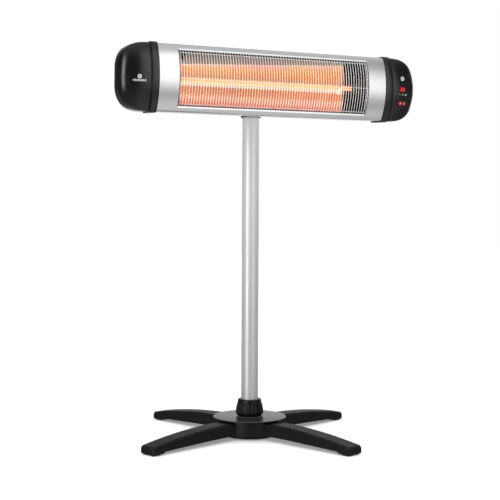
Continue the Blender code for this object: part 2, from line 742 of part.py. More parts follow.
def socket_clearance():
    """Opening in the reflector's left cheek for the left socket and its bracket."""
    half = SOCKET_HALF + 0.001
    return block((REFLECTOR_LEFT - 0.01, REFLECTOR_LEFT + 0.01), (TUBE_Y - half, TUBE_Y + half),
                 (TUBE_Z - half - BRACKET_SHEET, TUBE_Z + half))


def make_reflector(parent):
    inner = reflector_arc()
    outer = reflector_arc(REFLECTOR_SHEET)
    outline = outer + inner[::-1]
    rings = [[(x, y, z) for y, z in outline] for x in (REFLECTOR_LEFT, REFLECTOR_RIGHT)]
    reflector = place("reflector", loft(rings), bright_reflector(), parent)
    for end, side in ((REFLECTOR_LEFT, -1), (REFLECTOR_RIGHT, 1)):
        low, high = sorted((end - side * REFLECTOR_SHEET, end + side * GAP))
        cheek = prism(reflector_arc(REFLECTOR_SHEET / 2), low, high)
        combine(reflector, moved(cheek, EDGE_TO_X), "UNION")
    combine(reflector, socket_clearance())
    hole = moved(rod(REFLECTOR_HOLE, REFLECTOR_RIGHT - 0.01, REFLECTOR_RIGHT + 0.01, 20), ALONG_X)
    combine(reflector, shifted(hole, y=TUBE_Y, z=TUBE_Z))
    low = REFLECTOR_BACK_Y + REFLECTOR_SHEET + GAP
    stay = block((-0.15, 0.15), (low, BACK_DEPTH - WALL - GAP), (-0.009, 0.006))
    bevel(place("reflector_stay", stay, black_steel(), parent), 0.001, 1)


def make_tube(parent):
    bore = TUBE_RADIUS - TUBE_WALL
    left, right = TUBE_LEFT, TUBE_RIGHT
    to_tube = Matrix.Translation((0, TUBE_Y, TUBE_Z)) @ ALONG_X
    tube = [(bore, left), (TUBE_RADIUS, left), (TUBE_RADIUS, right), (bore, right)]
    place("quartz_tube", moved(lathe(tube, 16), to_tube), quartz(), parent)
    filament = rod(FILAMENT_RADIUS, left + 0.004, right - 0.004, 10)
    place("filament", moved(filament, to_tube), hot_wire(), parent)


def socket_range(side):
    """Near and far end of a lamp socket. The tube's end sits in a pocket at the near end."""
    tube_end = TUBE_RIGHT if side > 0 else TUBE_LEFT
    near = tube_end - side * 0.005
    return near, near + side * SOCKET_LENGTH


def make_sockets(parent):
    for side, name in ((-1, "left"), (1, "right")):
        near, far = socket_range(side)
        tube_end = TUBE_RIGHT if side > 0 else TUBE_LEFT
        body = block(sorted((near, far)), (TUBE_Y - SOCKET_HALF, TUBE_Y + SOCKET_HALF),
                     (TUBE_Z - SOCKET_HALF, TUBE_Z + SOCKET_HALF))
        socket = place(f"{name}_socket", body, dark_ceramic(), parent)
        low, high = sorted((near - side * 0.002, tube_end + side * GAP))
        pocket = moved(rod(TUBE_RADIUS + GAP, low, high, 20),
                       Matrix.Translation((0, TUBE_Y, TUBE_Z)) @ ALONG_X)
        combine(socket, pocket)
        make_socket_bracket(parent, side, name, near)


def make_socket_bracket(parent, side, name, near):
    """L-shaped shelf under a socket, standing on the bulkhead."""
    top = TUBE_Z - SOCKET_HALF - GAP
    shelf_low = top - BRACKET_SHEET
    foot = shelf_low - BRACKET_DROP
    wall = BULKHEAD_X - GAP
    web = wall - BRACKET_SHEET
    outline = [(abs(near), shelf_low), (web, shelf_low), (web, foot), (wall, foot), (wall, top),
               (abs(near), top)]
    upright = Matrix.Rotation(math.pi / 2, 4, "X")
    shape = moved(prism([(side * x, z) for x, z in outline], -0.008, 0.008), upright)
    place(f"{name}_socket_bracket", shifted(shape, y=TUBE_Y), black_steel(), parent)


def guard_y(z):
    """y of the guard's curved sheet of wires."""
    front_centre = FRONT_RADIUS - FRONT_DEPTH
    return front_centre - math.sqrt((FRONT_RADIUS - GUARD_DEPTH) ** 2 - z ** 2)


def make_guard(parent):
    """Upright wires crossed by three rails, cut as a curved lattice of one thickness."""
    half = GUARD_WIRE / 2
    columns = [-GUARD_HALF_LENGTH]
    for k in range(GUARD_WIRES):
        x = (k - (GUARD_WIRES - 1) / 2) * GUARD_PITCH
        columns += [x - half, x + half]
    columns.append(GUARD_HALF_LENGTH)
    rows = [-GUARD_END_Z]
    rails = (-GUARD_RAIL_Z, TUBE_Z, GUARD_RAIL_Z)
    for z in rails:
        rows += [z - half, z + half]
    rows.append(GUARD_END_Z)
    rail_rows = (1, 3, 5)
    bm = bmesh.new()
    grid = {}

    def corner(i, j):
        if (i, j) not in grid:
            grid[i, j] = bm.verts.new((columns[i], guard_y(rows[j]), rows[j]))
        return grid[i, j]

    for i in range(len(columns) - 1):
        for j in range(len(rows) - 1):
            if i % 2 == 1 or j in rail_rows:
                bm.faces.new((corner(i, j), corner(i + 1, j), corner(i + 1, j + 1), corner(i, j + 1)))
    bmesh.ops.recalc_face_normals(bm, faces=bm.faces)
    guard = place("guard", bm, steel(), parent, smooth=False)
    solid = guard.modifiers.new("Solidify", "SOLIDIFY")
    solid.thickness = GUARD_WIRE
    solid.offset = 0.0


# Controls ------------------------------------------------------------------------------------------

def make_control_panel(parent):
    """The piece of the right cap's skin that carries the controls."""
    panel = place("control_panel", cap_mesh(1), gloss_panel(), parent)
    combine(panel, panel_cutter(0.0), "INTERSECT")
    openings = [moved(rod(POWER_RADIUS + GAP, -0.010, 0.010, 20), control_frame(*POWER_AT))]
    for x in SMALL_BUTTON_X:
        openings.append(moved(rod(SMALL_RADIUS + GAP, -0.010, 0.010, 12), control_frame(x, SMALL_BUTTON_Z)))
    for at, size in ((DISPLAY_AT, DISPLAY_SIZE), (SWITCH_AT, SWITCH_SIZE)):
        outline = rounded_rectangle(size[0] + 2 * GAP, size[1] + 2 * GAP, KEY_CORNER + GAP, 2)
        openings.append(moved(prism(outline, -0.012, 0.010), control_frame(*at)))
    combine(panel, gather(*openings))


def make_display(parent):
    outline = rounded_rectangle(*DISPLAY_SIZE, KEY_CORNER, 2)
    place("display", prism(outline, -0.005, -0.0004), red_display(), parent,
          control_frame(*DISPLAY_AT), smooth=False)


def make_circuit_board(parent):
    """Board behind the controls with its relay."""
    board = place("circuit_board", block((-0.015, 0.015), (-0.026, 0.028), (-0.0115, -0.0100)),
                  board_green(), parent, control_frame(0.336, 0.004), smooth=False)
    combine(board, block((-0.008, 0.008), (0.004, 0.024), (-0.027, -0.0105)), "UNION")


def make_switch(parent):
    """Mains switch: a frame with a pocket, and the rocker turning in it."""
    frame = control_frame(*SWITCH_AT)
    outline = rounded_rectangle(*SWITCH_SIZE, KEY_CORNER, 2)
    body = place("switch_frame", prism(outline, -0.016, 0.0008), black_plastic(), parent, frame)
    pocket = block((-0.0124, 0.0124), (-0.0056, 0.0056), (-0.0120, 0.002))
    combine(body, pocket)
    axle = empty("rocker_axis", (0, 0, 0), parent=parent)
    axle.matrix_basis = frame @ Matrix.Translation((0, 0, -ROCKER_AXIS_DEPTH))
    half = 0.0114
    outline = [(-half, 0.0062), (-half, 0.0), (-0.004, -0.005), (0.004, -0.005), (half, 0.0),
               (half, 0.0062), (0.0, 0.0046)]
    shape = moved(prism(outline, -0.0052, 0.0052), Matrix.Rotation(math.pi / 2, 4, "X"))
    place("switch_rocker", shape, red_switch(), axle, Matrix.Rotation(ROCKER_ON, 4, "Y"), smooth=False)


def make_buttons(parent):
    """Push buttons. Each one's own +Z is its way out of the panel."""
    cases = [("power_button", POWER_AT, POWER_RADIUS, 20)]
    names = ("up_button", "down_button", "timer_button")
    for name, x in zip(names, SMALL_BUTTON_X):
        cases.append((name, (x, SMALL_BUTTON_Z), SMALL_RADIUS, 12))
    for name, at, radius, segments in cases:
        profile = [(0, -BUTTON_DEPTH), (radius, -BUTTON_DEPTH), (radius, BUTTON_PROUD - 0.0004),
                   (radius - 0.0004, BUTTON_PROUD), (0, BUTTON_PROUD)]
        place(name, lathe(profile, segments), gloss_panel(), parent, control_frame(*at))


def make_electrics(parent):
    """Terminal block, tilt switch and the two leads of the heating tube."""
    block_mesh = block((0.262, 0.284), (0.020, 0.034), (-0.030, 0.010))
    bevel(place("terminal_block", block_mesh, black_plastic(), parent), 0.001, 1)
    switch_mesh = block((0.262, 0.280), (0.020, 0.040), (-0.062, -0.040))
    bevel(place("tip_over_switch", switch_mesh, black_plastic(), parent), 0.001, 1)


def make_lead(parent, name, points):
    """A soft-cornered insulated wire through the given points."""
    curve = bpy.data.curves.new(name, "CURVE")
    curve.dimensions = "3D"
    curve.bevel_depth = LEAD_RADIUS
    curve.bevel_resolution = 1
    curve.use_fill_caps = True
    spline = curve.splines.new("POLY")
    path = smooth_path(points, 2)
    spline.points.add(len(path) - 1)
    for point, place_at in zip(spline.points, path):
        point.co = (*place_at, 1.0)
    curve.materials.append(lead_silicone())
    obj = bpy.data.objects.new(name, curve)
    bpy.context.collection.objects.link(obj)
    obj.parent = parent


def smooth_path(points, steps):
    """A curve through the points, as a Catmull-Rom spline."""
    nodes = [Vector(p) for p in points]
    nodes = [2 * nodes[0] - nodes[1]] + nodes + [2 * nodes[-1] - nodes[-2]]
    path = []
    for a, b, c, d in zip(nodes, nodes[1:], nodes[2:], nodes[3:]):
        for i in range(steps):
            t = i / steps
            path.append(0.5 * (2 * b + (c - a) * t + (2 * a - 5 * b + 4 * c - d) * t ** 2
                               + (3 * b - a - 3 * c + d) * t ** 3))
    path.append(nodes[-2])
    return path


def make_leads(parent):
    left_end = socket_range(-1)[1]
    right_end = socket_range(1)[1]
    start = 0.0007
    make_lead(parent, "left_lead", [
        (left_end - start, TUBE_Y, TUBE_Z), (left_end - 0.0025, TUBE_Y + 0.0004, TUBE_Z),
        (left_end - 0.0035, TUBE_Y + 0.004, TUBE_Z + 0.001), (left_end - 0.0034, TUBE_Y + 0.012, 0.002),
        (left_end, 0.032, 0.008), (-0.239, 0.044, LEAD_Z), (-0.215, LEAD_Y, LEAD_Z),
        (-0.100, LEAD_Y, LEAD_Z), (0.0, LEAD_Y, LEAD_Z), (0.100, LEAD_Y, LEAD_Z),
        (0.220, LEAD_Y, LEAD_Z), (0.256, LEAD_Y, LEAD_Z), (0.266, 0.048, 0.006), (0.271, 0.044, -0.004),
        (0.272, 0.039, -0.008), (0.272, 0.0349, -0.009)])
    make_lead(parent, "right_lead", [
        (right_end + start, TUBE_Y, TUBE_Z), (right_end + 0.006, TUBE_Y + 0.002, TUBE_Z + 0.001),
        (right_end + 0.012, 0.024, 0.006), (right_end + 0.010, 0.038, 0.014),
        (right_end + 0.004, 0.046, 0.020)])


# Tilt joint ----------------------------------------------------------------------------------------

def make_tilt_bracket(parent):
    """U-shaped bracket: a plate on the housing's back and two ears around the mast's tongue."""
    plate_low = HEAD_BACK_Y + GAP
    plate_high = plate_low + EAR_THICKNESS
    ear_inner = TONGUE_HALF + WASHER_THICKNESS + 2 * GAP
    ear_outer = ear_inner + EAR_THICKNESS
    plate = block((-ear_outer, ear_outer), (plate_low, plate_high), (-0.032, 0.032))
    bracket = place("tilt_bracket", plate, black_steel(), parent)
    for side in (-1, 1):
        outline = [(plate_low + 0.0005, -0.030), (plate_high + 0.010, -0.026), (0.0, -EAR_RADIUS)]
        outline += arc((0, 0), EAR_RADIUS, -math.pi / 2, math.pi / 2, 10)[1:]
        outline += [(plate_high + 0.010, 0.026), (plate_low + 0.0005, 0.030)]
        low, high = sorted((side * ear_inner, side * ear_outer))
        combine(bracket, moved(prism(outline, low, high), EDGE_TO_X), "UNION")
    combine(bracket, moved(rod(BOLT_RADIUS + GAP, -0.03, 0.03), ALONG_X))
    holes = [shifted(moved(rod(0.0028, plate_low - 0.01, plate_high + 0.01, 12), ALONG_Y), x=x, z=z)
             for x, z in bracket_screw_places()]
    combine(bracket, gather(*holes))
    for name, (x, z) in zip(("upper_bracket_screw", "lower_bracket_screw"), bracket_screw_places()):
        screw = moved(screw_mesh(0.0045, 0.0026, 0.0020, 0.0080), ALONG_Y)
        place(name, shifted(screw, x=x, y=plate_high + GAP, z=z), steel(), parent)


def make_pivot(parent):
    """Bolt through the ears, with a fibre washer on each side of the tongue."""
    ear_outer = TONGUE_HALF + WASHER_THICKNESS + 2 * GAP + EAR_THICKNESS
    head = -ear_outer - GAP
    profile = [(0, head - 0.004), (0.0062, head - 0.004), (0.0078, head - 0.0015), (0.0078, head),
               (BOLT_RADIUS, head), (BOLT_RADIUS, ear_outer + 0.018), (0, ear_outer + 0.018)]
    place("pivot_bolt", moved(lathe(profile, 20), ALONG_X), steel(), parent)
    for side, name in ((-1, "left_pivot_washer"), (1, "right_pivot_washer")):
        low = TONGUE_HALF + GAP
        ring = [(BOLT_RADIUS + GAP, low), (0.011, low), (0.011, low + WASHER_THICKNESS),
                (BOLT_RADIUS + GAP, low + WASHER_THICKNESS)]
        washer = lathe([(r, side * z) for r, z in ring], 16)
        place(name, moved(washer, ALONG_X), rubber(), parent)


def make_tilt_knob(parent):
    """Three-lobed knob on the pivot bolt, blind at its outer end."""
    low = TONGUE_HALF + WASHER_THICKNESS + 3 * GAP + EAR_THICKNESS
    count = 24
    rings = []
    for radius, swing, x in ((0.0125, 0, low), (0.0125, 0, low + 0.006), (0.0190, 0.0035, low + 0.008),
                             (0.0195, 0.0035, low + 0.020), (0.0170, 0.0030, low + 0.023)):
        ring = []
        for i in range(count):
            angle = 2 * math.pi * i / count
            r = radius + swing * math.cos(3 * angle)
            ring.append((x, r * math.cos(angle), r * math.sin(angle)))
        rings.append(ring)
    knob = place("tilt_knob", loft(rings), black_plastic(), parent)
    combine(knob, moved(rod(BOLT_RADIUS + GAP, low - 0.002, low + 0.019), ALONG_X))


def make_head(tilt_axis):
    """Everything that tilts, in a frame whose origin is the middle of the head's section."""
    head_frame = empty("head_frame", (0, -HEAD_REACH, 0), parent=tilt_axis)
    make_housing(head_frame)
    make_caps(head_frame)
    make_cable_gland(head_frame)
    make_bulkheads(head_frame)
    make_reflector(head_frame)
    make_tube(head_frame)
    make_sockets(head_frame)
    make_guard(head_frame)
    make_control_panel(head_frame)
    make_display(head_frame)
    make_circuit_board(head_frame)
    make_switch(head_frame)
    make_buttons(head_frame)
    make_electrics(head_frame)
    make_leads(head_frame)


def main():
    clear_scene()
    make_hub()
    make_legs()
    make_hub_cover()
    make_clamp_sleeve()
    make_wedge_ring()
    make_clamp_nut(empty("nut_axis", (0, 0, 0)))
    mast_axis = empty("mast_axis", (0, 0, 0))
    make_mast(mast_axis)
    make_mast_fitting(mast_axis)
    tilt_axis = empty("tilt_axis", (0, 0, PIVOT_Z), (HEAD_TILT, 0, 0), mast_axis)
    make_tilt_bracket(tilt_axis)
    make_pivot(tilt_axis)
    make_tilt_knob(tilt_axis)
    make_head(tilt_axis)
    bpy.context.view_layer.update()


main()
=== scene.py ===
"""Looks of the floor-standing infrared heater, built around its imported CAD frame.

Metres, +Z up, in the frame's own axes: the mast stands on the origin, the head lies along X and heats
towards -Y. Head pieces are modelled in the head's own frame and placed with HEAD.
"""
import math

import bmesh
import bpy
from mathutils import Matrix, Vector


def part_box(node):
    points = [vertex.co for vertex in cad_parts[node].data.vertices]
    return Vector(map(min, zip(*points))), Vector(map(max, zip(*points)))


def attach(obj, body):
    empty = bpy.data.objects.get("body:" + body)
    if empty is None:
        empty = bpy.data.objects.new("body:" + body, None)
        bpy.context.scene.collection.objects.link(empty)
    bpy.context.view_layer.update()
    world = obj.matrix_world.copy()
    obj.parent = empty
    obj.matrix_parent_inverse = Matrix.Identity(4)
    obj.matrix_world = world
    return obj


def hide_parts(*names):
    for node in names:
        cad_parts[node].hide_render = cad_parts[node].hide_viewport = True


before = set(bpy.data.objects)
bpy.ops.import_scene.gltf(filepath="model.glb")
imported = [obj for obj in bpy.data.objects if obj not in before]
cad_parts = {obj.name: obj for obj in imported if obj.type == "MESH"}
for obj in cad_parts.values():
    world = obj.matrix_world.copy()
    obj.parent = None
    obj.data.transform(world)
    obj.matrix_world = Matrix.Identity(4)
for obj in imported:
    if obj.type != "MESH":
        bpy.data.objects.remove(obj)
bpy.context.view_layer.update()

TAU = 2 * math.pi
GAP = 0.0003

# Base, as in the frame
LEG_COUNT = 4
LEG_FIRST_ANGLE = math.radians(23.4)
LEG_REACH = 0.3372
LEG_WIDTH = 0.0474
LEG_CREST_R = 0.085
LEG_CREST_Z = 0.0432
LEG_TIP_Z = 0.0206
LEG_CHAMFER = 0.004
LEG_ARCH_Z = 0.0120
LEG_HEEL_Z = 0.0072
FOOT_LENGTH = 0.032
FOOT_SLOPE = 0.005
PAD_THICKNESS = 0.003
LEG_SCREW_R = 0.043
LEG_SCREW_Z = 0.0085
HUB_RADIUS = 0.076
HUB_FOOT_RADIUS = 0.062
HUB_FOOT_HIGH_Z = 0.0115
HUB_LOW_Z = 0.002
HUB_HIGH_Z = 0.046
HUB_SEAT_Z = 0.0125
HUB_WELL_RADIUS = 0.020
COVER_RADIUS = 0.0905
FLANGE_RADIUS = 0.040
SLEEVE_RADIUS = 0.0256

# Mast
MAST_RADIUS = 0.021
MAST_WALL = 0.0015
NUT_RIBS = 22
FITTING_RADIUS = 0.0248
FITTING_HIGH_Z = 0.8297

# Tilt joint
PIVOT_Z = 0.8644
HEAD_TILT = math.radians(2.4)
HEAD_REACH = 0.136
TONGUE_HALF = 0.012
BOLT_RADIUS = 0.004
EAR_THICKNESS = 0.0025
EAR_INNER = TONGUE_HALF + 0.001 + 2 * GAP
EAR_OUTER = EAR_INNER + EAR_THICKNESS
EAR_RADIUS = 0.015
BRACKET_SCREW_Z = 0.020

# Head section: y is forward-negative
HALF_HEIGHT = 0.0769
FRONT_DEPTH = 0.0265
BACK_DEPTH = 0.056
FRONT_RADIUS = 0.14875
EDGE_RADIUS = 0.010
BACK_RADIUS = 0.016
FRONT_CENTRE = FRONT_RADIUS - FRONT_DEPTH
HOUSING_HALF = 0.301
SKIN = 0.0015
WINDOW_HALF_WIDTH = 0.2386
WINDOW_HALF_HEIGHT = 0.063
LIP_WIDTH = 0.0036
LIP_DEPTH = 0.0020

# Caps
CAP_START = 0.2896
CAP_RIM_END = 0.3054
CAP_GROOVE_END = 0.3084
CAP_DOME_START = 0.3091
CAP_RIM_PROUD = 0.003
CAP_WALL = 0.0026
CAP_POWER = 2.63
CAP_CENTRE_Y = 0.012
CAP_END = 0.381
CAP_SCREW_X = 0.2953
CAP_SCREW_Z = 0.040
CAP_DOME_PROUD = 0.0005
CAP_GROOVE_DEPTH = 0.0008

# Heating space
TROUGH_HALF = 0.060
REFLECTOR_LEFT = -0.2324
REFLECTOR_RIGHT = 0.182
REFLECTOR_LIP_Z = 0.0595
REFLECTOR_HOLE = 0.0085
TUBE_Y = 0.008
TUBE_Z = -0.001
TUBE_RADIUS = 0.0055
TUBE_LEFT = -0.2334
TUBE_RIGHT = 0.2143
COIL_PITCH = 0.0034
COIL_RADIUS = 0.0026
SOCKET_LENGTH = 0.022
SOCKET_HALF = 0.0105
GUARD_WIRES = 71
GUARD_PITCH = 0.00675
GUARD_WIRE = 0.0018
GUARD_DEPTH = 0.0035
GUARD_RAIL_Z = 0.058
GUARD_WIRE_END = 0.067
GUARD_HALF_LENGTH = 0.256

# Controls on the right cap: centre (x, z) and size
PANEL_BOX = (0.3185, 0.3575, -0.048, 0.0395)
POWER_AT = (0.3351, 0.0266)
POWER_RADIUS = 0.0062
DISPLAY_AT = (0.336, 0.0008)
DISPLAY_SIZE = (0.0160, 0.0124)
SMALL_BUTTON_Z = -0.0117
SMALL_BUTTON_X = (0.3275, 0.3360, 0.3445)
SMALL_RADIUS = 0.0028
BUTTON_PROUD = 0.0009
PRINT_HEIGHT = 0.00016
SWITCH_AT = (0.336, -0.0332)
SWITCH_SIZE = (0.0300, 0.0150)
ROCKER_AXIS_DEPTH = 0.004
ROCKER_ON = math.radians(9)
ROCKER_HALF = 0.0114
ROCKER_FACE = 0.0046
ROCKER_RISE = 0.0016
GLAND_AT = (0.322, -0.040)
EMBLEM_AT = (-0.3359, -0.002)
EMBLEM_BARS = 8
EMBLEM_BAR_PITCH = 0.0038

# Screws: head radius and height, shank radius and length
LEG_SCREW = (0.0055, 0.003, 0.0025, 0.018)
FITTING_SCREW = (0.0038, 0.0022, 0.0019, 0.0032)
CAP_SCREW = (0.0040, 0.0022, 0.0020, 0.0065)
BRACKET_SCREW = (0.0045, 0.0026, 0.0020, 0.0080)

# Studio, with angles in degrees. Azimuth is 0 ahead of the heater and grows towards its right. A window in
# azimuth or elevation is where it starts, is full, is full and ends.
BACKDROP_TOWARDS = (0.38, 0.92, 0.10)
BACKDROP_EDGE = (0.90, 0.985)
BACKDROP_STRENGTH = 0.80
ROOM_LEVELS = ((-90, 0.55), (-50, 0.66), (-38, 0.60), (-28, 0.42), (-20, 0.38), (-8, 0.20), (4, 0.09),
               (35, 0.09), (55, 0.62), (70, 0.55), (90, 0.60))
ROOM_FRONT = (-15.0, 5.0, 40.0, 60.0)
ROOM_ABOVE = (-25.0, 0.0)
ROOM_BELOW = (-64.0, -44.0)
ROOM_DIMMED = 0.45
SOFTBOXES = (((5.0, 14.0, 28.0, 38.0), (-28.0, 6.0, 38.0, 52.0), 1.35),
             ((-80.0, -71.0, -59.0, -46.0), (-26.0, -12.0, 28.0, 42.0), 4.2),
             ((98.0, 116.0, 140.0, 158.0), (-50.0, -20.0, 30.0, 50.0), 0.45))
SUN_STRENGTH = 2.9
FLOOR_GLOW = 0.26
FLOOR_HALF = 14.0
CAMERA_ANGLES = (22.7637, 1.6545, 0.2455)
CAMERA_DISTANCE = 2.7730
CAMERA_HEIGHT = 0.5425
CAMERA_ASIDE = -0.0006
CAMERA_LENS = 80.54
WHITE = (1.0, 1.0, 1.0)

PIVOT = Matrix.Translation((0, 0, PIVOT_Z)) @ Matrix.Rotation(HEAD_TILT, 4, "X")
HEAD = PIVOT @ Matrix.Translation((0, -HEAD_REACH, 0))
ALONG_X = Matrix.Rotation(math.pi / 2, 4, "Y")
ALONG_Y = Matrix.Rotation(-math.pi / 2, 4, "X")
EDGE_TO_X = Matrix(((0, 0, 1, 0), (1, 0, 0, 0), (0, 1, 0, 0), (0, 0, 0, 1)))


# Materials -----------------------------------------------------------------------------------------

class NodeTree:
    """A node tree built by calls: each call adds a node and gives back one of its outputs."""

    def __init__(self, tree, space):
        self.nodes, self.links = tree.nodes, tree.links
        self.place = self.add("TexCoord", space)

    def feed(self, socket, value):
        """Link an output to a socket, or set it to a number, a vector or a colour."""
        if isinstance(value, bpy.types.NodeSocket):
            self.links.new(value, socket)
        elif socket.type == "RGBA":
            socket.default_value = (*value, 1.0)
        else:
            socket.default_value = value

    def add(self, kind, output, inputs=(), **settings):
        """Add a node, and give back the output of that name or number."""
        node = self.nodes.new(f"ShaderNode{kind}")
        for name, value in settings.items():
            setattr(node, name, value)
        for name, value in dict(inputs).items():
            self.feed(node.inputs[name], value)
        return node.outputs[output]

    def axis(self, name):
        return self.add("SeparateXYZ", name, {"Vector": self.place})

    def math(self, operation, a, b=0.0):
        return self.add("Math", "Value", {0: a, 1: b}, operation=operation)

    def ranged(self, value, low, high, to_low=0.0, to_high=1.0, shape="LINEAR"):
        """Map one range of values to another, level beyond its ends."""
        inputs = {"Value": value, "From Min": low, "From Max": high, "To Min": to_low, "To Max": to_high}
        return self.add("MapRange", "Result", inputs, interpolation_type=shape)

    def window(self, value, edges):
        """1 between the middle two edges, falling smoothly to 0 at the outer ones."""
        rise = self.ranged(value, *edges[:2], shape="SMOOTHSTEP")
        return self.math("MULTIPLY", rise, self.ranged(value, *edges[2:], 1.0, 0.0, shape="SMOOTHSTEP"))

    def ramp(self, value, stops, low, high):
        """Colours at levels of a value that goes from low to high."""
        node = self.nodes.new("ShaderNodeValToRGB")
        elements = node.color_ramp.elements
        while len(elements) < len(stops):
            elements.new(0.5)
        for element, (level, color) in zip(elements, stops):
            element.position = (level - low) / (high - low)
            element.color = (*color, 1.0)
        self.feed(node.inputs["Fac"], self.ranged(value, low, high))
        return node.outputs["Color"]

    def mix(self, factor, a, b, blend="MIX"):
        return self.add("Mix", 2, {0: factor, 6: a, 7: b}, data_type="RGBA", blend_type=blend)


class Surface(NodeTree):
    """A Principled material whose nodes are added a detail at a time."""

    def __init__(self, name, color, roughness, metallic=0.0, **sockets):
        self.mat = bpy.data.materials.new(name)
        self.mat.use_nodes = True
        self.mat.diffuse_color = (*color, 1.0)
        super().__init__(self.mat.node_tree, "Object")
        self.shader = self.nodes["Principled BSDF"]
        self.set(Base_Color=color, Roughness=roughness, Metallic=metallic, **sockets)

    def set(self, **sockets):
        for name, value in sockets.items():
            self.feed(self.shader.inputs[name.replace("_", " ")], value)

    def stretched(self, scale):
        return self.add("Mapping", "Vector", {"Vector": self.place, "Scale": scale})

    def noise(self, scale, stretch=(1, 1, 1), detail=4.0, rough=0.6):
        inputs = {"Scale": scale, "Detail": detail, "Roughness": rough, "Vector": self.stretched(stretch)}
        return self.add("TexNoise", "Fac", inputs)

    def cells(self, scale):
        return self.add("TexVoronoi", "Distance", {"Scale": scale, "Vector": self.stretched((1, 1, 1))})

    def vary_roughness(self, value, low, high):
        """From one roughness to another as the value goes from 0.3 to 0.7."""
        self.set(Roughness=self.ranged(value, 0.3, 0.7, low, high))

    def vary_color(self, value, low, high):
        """From one tint to another as the value goes from 0.3 to 0.7."""
        self.set(Base_Color=self.mix(self.ranged(value, 0.3, 0.7), low, high))

    def bump(self, height, distance, strength):
        """Add relief to any that is there."""
        inputs = {"Height": height, "Distance": distance, "Strength": strength}
        for link in self.shader.inputs["Normal"].links:
            inputs["Normal"] = link.from_socket
        self.set(Normal=self.add("Bump", "Normal", inputs))

    def glow(self, color, strength):
        self.set(Emission_Color=color, Emission_Strength=strength)

    def vary_glow(self, value, low, high, strength):
        """From one glow to another as the value goes from 0.3 to 0.7."""
        self.glow(self.mix(self.ranged(value, 0.3, 0.7), low, high), strength)


def shade(color, amount):
    """The color made darker or lighter."""
    return tuple(min(1.0, c * amount) for c in color)


def edge_wear_and_sheen(surface, tint, share):
    """Lighter where the mesh is convex: edge wear, and on the cover disc also a painted highlight along its
    rim.
    """
    edge = surface.ranged(surface.add("NewGeometry", "Pointiness"), 0.505, 0.56, 0.0, share)
    under = surface.shader.inputs["Base Color"].links[0].from_socket
    surface.set(Base_Color=surface.mix(edge, under, tint))
    return surface.mat


def brushed_aluminium():
    """Satin extrusion, brushed along its length."""
    color = (0.86, 0.86, 0.865)
    s = Surface("brushed_aluminium", color, 0.22, 1.0)
    lines = s.noise(60.0, (0.12, 45, 45), 6.0, 0.65)
    s.vary_color(lines, shade(color, 0.93), shade(color, 1.03))
    s.vary_roughness(s.mix(0.35, lines, s.noise(9.0)), 0.17, 0.27)
    s.bump(lines, 0.00004, 0.6)
    return s.mat


def silver_paint():
    """Satin metallic paint, lighter up the mast: a glow that grows towards the top is painted light from
    above.
    """
    color = (0.56, 0.552, 0.56)
    s = Surface("silver_paint", color, 0.36, 0.45)
    flakes = s.cells(2600.0)
    drawn = s.noise(120.0, (30, 30, 0.15), 5.0)
    s.vary_color(s.mix(0.5, flakes, drawn), shade(color, 0.92), shade(color, 1.06))
    s.vary_roughness(s.noise(14.0, (1, 1, 0.3)), 0.34, 0.46)
    s.bump(drawn, 0.00003, 0.5)
    s.bump(s.noise(900.0), 0.00003, 0.4)
    # Painted light: an emission that grows up the mast lightens its upper part.
    painted_light_rise = s.math("POWER", s.ranged(s.axis("Z"), 0.10, 0.80), 2.0)
    s.glow(s.mix(painted_light_rise, (0.0, 0.0, 0.0), WHITE), 0.28)
    return s.mat


def moulded_plastic(name, color, gloss, grain, depth, shine):
    """Black moulded plastic with a fine spark-eroded grain and slightly uneven gloss."""
    s = Surface(name, color, sum(gloss) / 2, 0.0, Specular_IOR_Level=shine)
    fine = s.noise(grain, detail=3.0)
    s.vary_color(s.noise(35.0), shade(color, 0.85), shade(color, 1.25))
    s.vary_roughness(s.mix(0.6, fine, s.noise(22.0)), *gloss)
    s.bump(s.cells(grain * 0.8), depth, 0.5)
    s.bump(fine, depth, 0.5)
    return edge_wear_and_sheen(s, shade(color, 2.6), 0.5)


def gloss_panel():
    """Polished black plastic with a few specks of dust."""
    color = (0.008, 0.008, 0.009)
    s = Surface("gloss_panel", color, 0.12, 0.0, Coat_Weight=0.4, Coat_Roughness=0.06)
    specks = s.ranged(s.cells(420.0), 0.0, 0.06, 0.35, 0.0)
    s.set(Base_Color=s.mix(specks, color, (0.10, 0.10, 0.11)))
    s.vary_roughness(s.noise(60.0), 0.08, 0.20)
    s.bump(s.noise(16.0), 0.0002, 0.15)
    return s.mat


def cover_steel():
    """Painted steel disc with faint turned rings about the mast."""
    color = (0.016, 0.015, 0.016)
    s = Surface("cover_steel", color, 0.27, 0.0, Specular_IOR_Level=0.42)
    radius = s.add("VectorMath", "Value", {0: s.stretched((1, 1, 0))}, operation="LENGTH")
    rings = s.add("TexNoise", "Fac", {"Scale": 1400.0, "W": radius}, noise_dimensions="1D")
    s.vary_color(s.mix(0.5, rings, s.noise(900.0)), shade(color, 0.85), shade(color, 1.3))
    s.vary_roughness(s.mix(0.5, rings, s.noise(20.0)), 0.22, 0.32)
    s.bump(rings, 0.00003, 0.5)
    # The lighter convex rim is partly edge wear and partly a painted highlight along the rim.
    return edge_wear_and_sheen(s, (0.14, 0.14, 0.145), 0.3)


